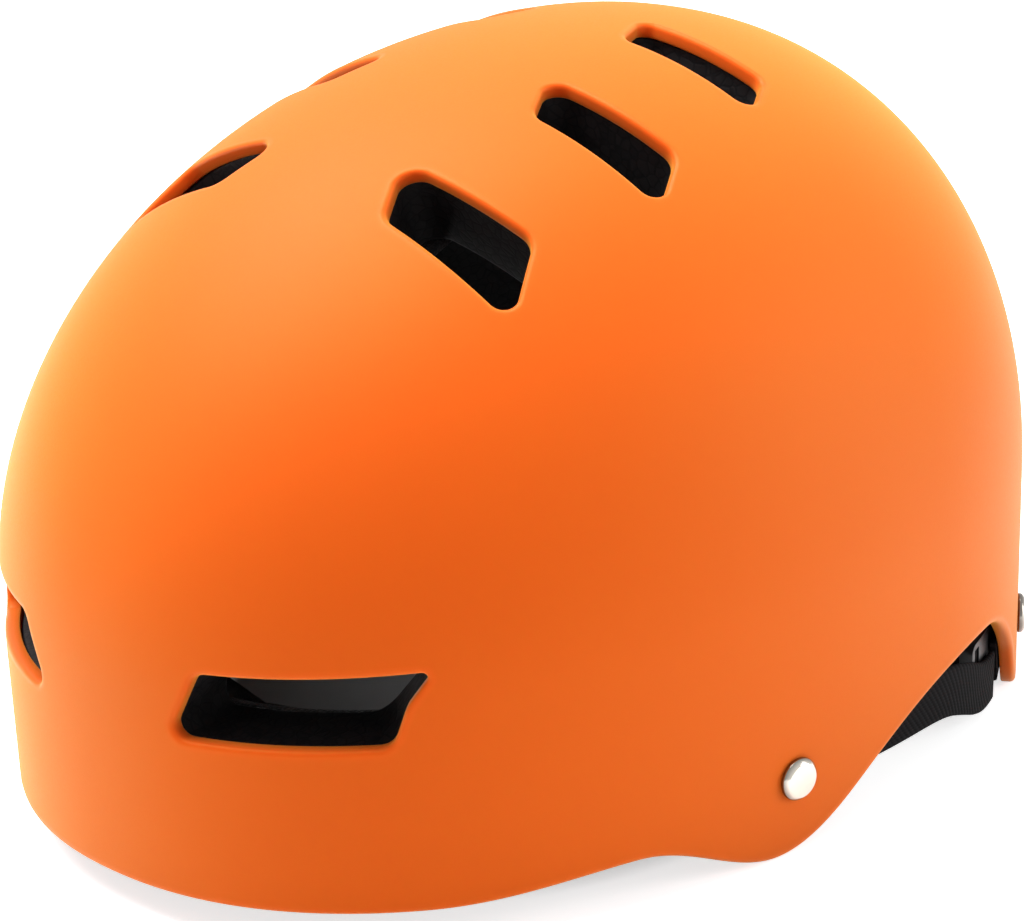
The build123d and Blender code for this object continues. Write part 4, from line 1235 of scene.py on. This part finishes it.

# %% [markdown]
# The liner is expanded foam: thousands of beads pressed together, each a little cell with a fine seam round it. On
# black foam the bead tops catch a bit of light and the seams are darkest; here this is painted into the colour, a
# painted light on the bead tops and a painted shadow in the seams. A Voronoi texture gives such cells, once for the
# distance to the seam and once for a tone of each bead's own.

# %% Liner finish
BEAD_SCALE = 380.0
foam, tree, shader, place = finish("black_bead_foam", (0.009, 0.009, 0.01), 0.62, {"Specular IOR Level": 0.25})
beads = {"Vector": place, "Scale": BEAD_SCALE}
cells = add_node(tree, "ShaderNodeTexVoronoi", beads, feature="DISTANCE_TO_EDGE")
spots = add_node(tree, "ShaderNodeTexVoronoi", beads)
pores = add_node(tree, "ShaderNodeGroup", {"Vector": place, "Scale": 2600.0}, node_tree=grain)
bead_top = remap(tree, cells.outputs["Distance"], 0.0, 0.16, 0.0, 1.0)
bead_tone = add_node(tree, "ShaderNodeSeparateXYZ", {0: spots.outputs["Color"]}).outputs["X"]
# Lighter bead tops and darker seams are painted light and shadow; the tone of each bead differs at random.
shade = math(tree, "MULTIPLY", bead_top, math(tree, "ADD", 0.5, bead_tone))
tint(tree, shader, shade, (0.004, 0.004, 0.005), (0.014, 0.013, 0.014))
raise_by(tree, shader, math(tree, "MULTIPLY_ADD", pores.outputs["Height"], 0.12, bead_top), 0.12, 0.5)

# %% [markdown]
# Pads, hook dots and straps are cloth. The pads' knit is brushed, so its tips are pale and it has some
# sheen. The hook dots use the same pattern, finer and darker. The webbing is flat black and nearly
# without gloss, or its ribs would glitter.

# %% Pad, hook dot and webbing finishes
knit, tree, shader, place = finish("charcoal_brushed_knit", (0.03, 0.03, 0.033), 0.85, {"Sheen Weight": 0.35})
lay_pattern(tree, shader, fleece, place, 0.22, 0.9, ("Tips", (0.018, 0.018, 0.02), (0.062, 0.062, 0.067)), Scale=1150.0)

hooks, tree, shader, place = finish("hook_patch_nylon", (0.02, 0.02, 0.022), 0.5, {"Sheen Weight": 0.1})
lay_pattern(tree, shader, fleece, place, 0.3, 1.0, ("Tips", (0.008, 0.008, 0.009), (0.05, 0.05, 0.054)), Scale=1800.0)

woven, tree, shader, place = finish("black_twill_webbing", (0.005, 0.005, 0.0055), 0.8, {"Specular IOR Level": 0.05})
place = add_node(tree, "ShaderNodeUVMap", uv_map="weave").outputs["UV"]
weave_colors = ("Groove", (0.0075, 0.007, 0.0075), (0.002, 0.002, 0.0022))
lay_pattern(tree, shader, twill, place, 0.16, 0.9, weave_colors, Ribs=5.5, Threads=13.0)

# %% [markdown]
# Buckle and dividers are black nylon with a fine moulded grain, and the keeper is softer, duller rubber.
# The rivets are satin nickel, with a painted dark reflection on the slope of the head and a few worn spots, and the
# levers turn on drawn steel.

# %% Plastic, rubber and metal finishes
plastic, tree, shader, place = finish("black_moulded_nylon", (0.016, 0.016, 0.017), 0.4)
nylon_colors = ("Patches", (0.013, 0.013, 0.014), (0.021, 0.021, 0.022))
pattern = lay_pattern(tree, shader, grain, place, 0.03, 0.6, nylon_colors, Scale=2200.0)
roughen(tree, shader, pattern["Height"], 0.3, 0.7, 0.34, 0.48)

rubber, tree, shader, place = finish("black_rubber", (0.02, 0.02, 0.02), 0.75)
lay_pattern(tree, shader, grain, place, 0.05, 0.6, ("Patches", (0.015, 0.015, 0.015), (0.03, 0.03, 0.03)), Scale=1300.0)

NICKEL, WORN_AND_PAINTED_REFLECTION_NICKEL = (0.62, 0.58, 0.51), (0.20, 0.18, 0.16)
nickel, tree, shader, place = finish("satin_nickel", NICKEL, 0.2, {"Metallic": 1.0})
pattern = lay_pattern(tree, shader, brushed, place, 0.002, 0.3, Scale=1100.0)
# The slope of the head is painted dark, a painted reflection, and the worn spots darken it a little too.
worn_spots_and_painted_reflection = math(tree, "MULTIPLY_ADD", pattern["Marks"], 0.12, edge_mark(tree))
tint(tree, shader, worn_spots_and_painted_reflection, NICKEL, WORN_AND_PAINTED_REFLECTION_NICKEL)
roughen(tree, shader, pattern["Marks"], 0.0, 1.0, 0.18, 0.24)

steel, tree, shader, place = finish("drawn_steel", (0.5, 0.5, 0.52), 0.25, {"Metallic": 1.0})
pattern = lay_pattern(tree, shader, brushed, place, 0.01, 0.5, Scale=2600.0)
roughen(tree, shader, pattern["Height"], 0.3, 0.7, 0.2, 0.4)


# %% [markdown]
# Last, each piece gets its finish. Only the hook dots show their CAD mesh, so that mesh is dressed too.

# %% Finishes put on
def dress(pieces, material):
    """Gives pieces one material."""
    for piece in pieces:
        piece.data.materials.clear()
        piece.data.materials.append(material)


dress([shell], orange)
dress([liner], foam)
dress([*pads.values(), chin_pad], knit)
dress(strap_pieces, woven)
dress(plastic_pieces, plastic)
dress([keeper_piece], rubber)
dress(pin_pieces, steel)
dress(metal_pieces, nickel)
dress([nodes["hook_dots"]], hooks)
dress([node for node in nodes.values() if not node.data.materials or node.data.materials[0] is None], plastic)

# %% [markdown]
# ## Stage and light
# The photograph is a cut-out on pure white. A plain white floor would turn grey under soft light, so the floor glows a
# little, only for rays that look at it, and bounces less light on the shell than it shows. Under the helmet its colour
# is painted dark, a painted shadow, and it doesn't glow.

# %% Floor
FLOOR_SIZE, FLOOR_DROP = 6, 0.0002
FLOOR_BOUNCE, FLOOR_TONE, PAINTED_SHADOW_TONE = 0.74, 0.92, 0.3
HALF_SIZES = (0.108, 0.135)
COVER_START, COVER_END = 0.66, 0.86
NEAR_GLOW, FAR_GLOW, FAR_START, FAR_END = 0.7, 0.3, 1.5, 5.0


def seen_directly(tree):
    """One for rays from the camera, a gloss or a glass, zero for those that carry light."""
    rays = add_node(tree, "ShaderNodeLightPath").outputs
    reflected = math(tree, "MAXIMUM", rays["Is Glossy Ray"], rays["Is Transmission Ray"])
    return math(tree, "MAXIMUM", rays["Is Camera Ray"], reflected)


bpy.ops.object.select_all(action="DESELECT")
bpy.ops.mesh.primitive_plane_add(size=FLOOR_SIZE, location=(0, 0, -FLOOR_DROP))
floor = bpy.context.active_object
floor.name = "floor"
floor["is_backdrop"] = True
paper, tree, shader, place = finish("white_paper_floor", (0.9, 0.9, 0.9), 0.9)
lay_pattern(tree, shader, grain, place, 0.02, 0.3, Scale=600.0)
floor.data.materials.append(paper)

# %% Floor tone and glow
seen = seen_directly(tree)
to_shares = (1 / HALF_SIZES[0], 1 / HALF_SIZES[1], 0)
squeezed = add_node(tree, "ShaderNodeVectorMath", {0: place, 1: to_shares}, operation="MULTIPLY")
away = add_node(tree, "ShaderNodeVectorMath", {0: squeezed.outputs[0]}, operation="LENGTH").outputs["Value"]
open_share = remap(tree, away, COVER_START, COVER_END, 0.0, 1.0)
open_tone = remap(tree, seen, 0.0, 1.0, FLOOR_BOUNCE, FLOOR_TONE)
# Under the helmet the floor's colour is a painted shadow.
painted_shadow_tone = remap(tree, open_share, 0.0, 1.0, PAINTED_SHADOW_TONE, 0.0)
tone = math(tree, "MULTIPLY_ADD", open_share, open_tone, painted_shadow_tone)
tone_color = add_node(tree, "ShaderNodeCombineColor", {0: tone, 1: tone, 2: tone})
fill(tree, shader, {"Base Color": tone_color.outputs[0]})
near_glow = math(tree, "MULTIPLY", open_share, NEAR_GLOW)
far_glow = remap(tree, away, FAR_START, FAR_END, 0.0, FAR_GLOW)
strength = math(tree, "MULTIPLY", seen, math(tree, "ADD", near_glow, far_glow))
glow = add_node(tree, "ShaderNodeEmission", {"Color": (1, 1, 1, 1), "Strength": strength})
both = add_node(tree, "ShaderNodeAddShader", {0: shader.outputs[0], 1: glow.outputs[0]})

# %% [markdown]
# From below, the floor would hide the inside of the helmet, so its back is clear.

# %% Clear underside
under = add_node(tree, "ShaderNodeNewGeometry").outputs["Backfacing"]
clear = add_node(tree, "ShaderNodeBsdfTransparent")
one_sided = add_node(tree, "ShaderNodeMixShader", {0: under, 1: both.outputs[0], 2: clear.outputs[0]})
fill(tree, tree.nodes["Material Output"], {"Surface": one_sided.outputs[0]})
print("floor", FLOOR_SIZE, "m wide,", len(tree.nodes), "nodes")

# %% [markdown]
# The world is pure white for the camera and in reflections, and weaker as a light, so that the shell
# keeps its form.

# %% World
WORLD_LEVEL = 0.4
world = bpy.data.worlds.new("studio")
bpy.context.scene.world = world
world.use_nodes = True
tree = world.node_tree
strength = remap(tree, seen_directly(tree), 0.0, 1.0, WORLD_LEVEL, 1.0)
fill(tree, tree.nodes["Background"], {"Color": (1, 1, 1, 1), "Strength": strength})
print("world light", WORLD_LEVEL)

# %% [markdown]
# One large soft lamp hangs above the helmet, a little to the left of the picture, and does most of the
# work: the top is pale, and the colour deepens towards the brow. A weaker one lights the right side
# from behind, and a faint one at the left keeps that side from going dull.

# %% Lamps
AIM = Vector((0, 0, 0.08))
# Place, size and watts
LAMPS = {
    "top_softbox": ((-0.40, -0.13, 1.25), (1.1, 1.1), 35),
    "left_softbox": ((-1.25, 0.3, 0.45), (0.6, 1.0), 0.3),
    "right_softbox": ((1.15, 0.75, 0.4), (0.6, 1.0), 10),
}
for name, (place, size, watts) in LAMPS.items():
    data = bpy.data.lights.new(name, "AREA")
    data.shape = "RECTANGLE"
    data.size, data.size_y = size
    data.energy = watts
    place = Vector(place)
    turn = (place - AIM).to_track_quat("Z", "Y").to_matrix().to_4x4()
    linked(name, data).matrix_world = Matrix.Translation(place) @ turn
    print(name, watts, "W")

bpy.context.scene.view_settings.view_transform = "Standard"

# %% [markdown]
# ## Sizes
# The dressed helmet should fill the same box as the CAD model. Both boxes are measured and printed.

# %% Sizes
visual_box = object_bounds()
print("visual box", [[round(v, 4) for v in corner] for corner in visual_box])
for box in (cad_box, visual_box):
    json.dumps([list(map(float, corner)) for corner in box]) + "\n"
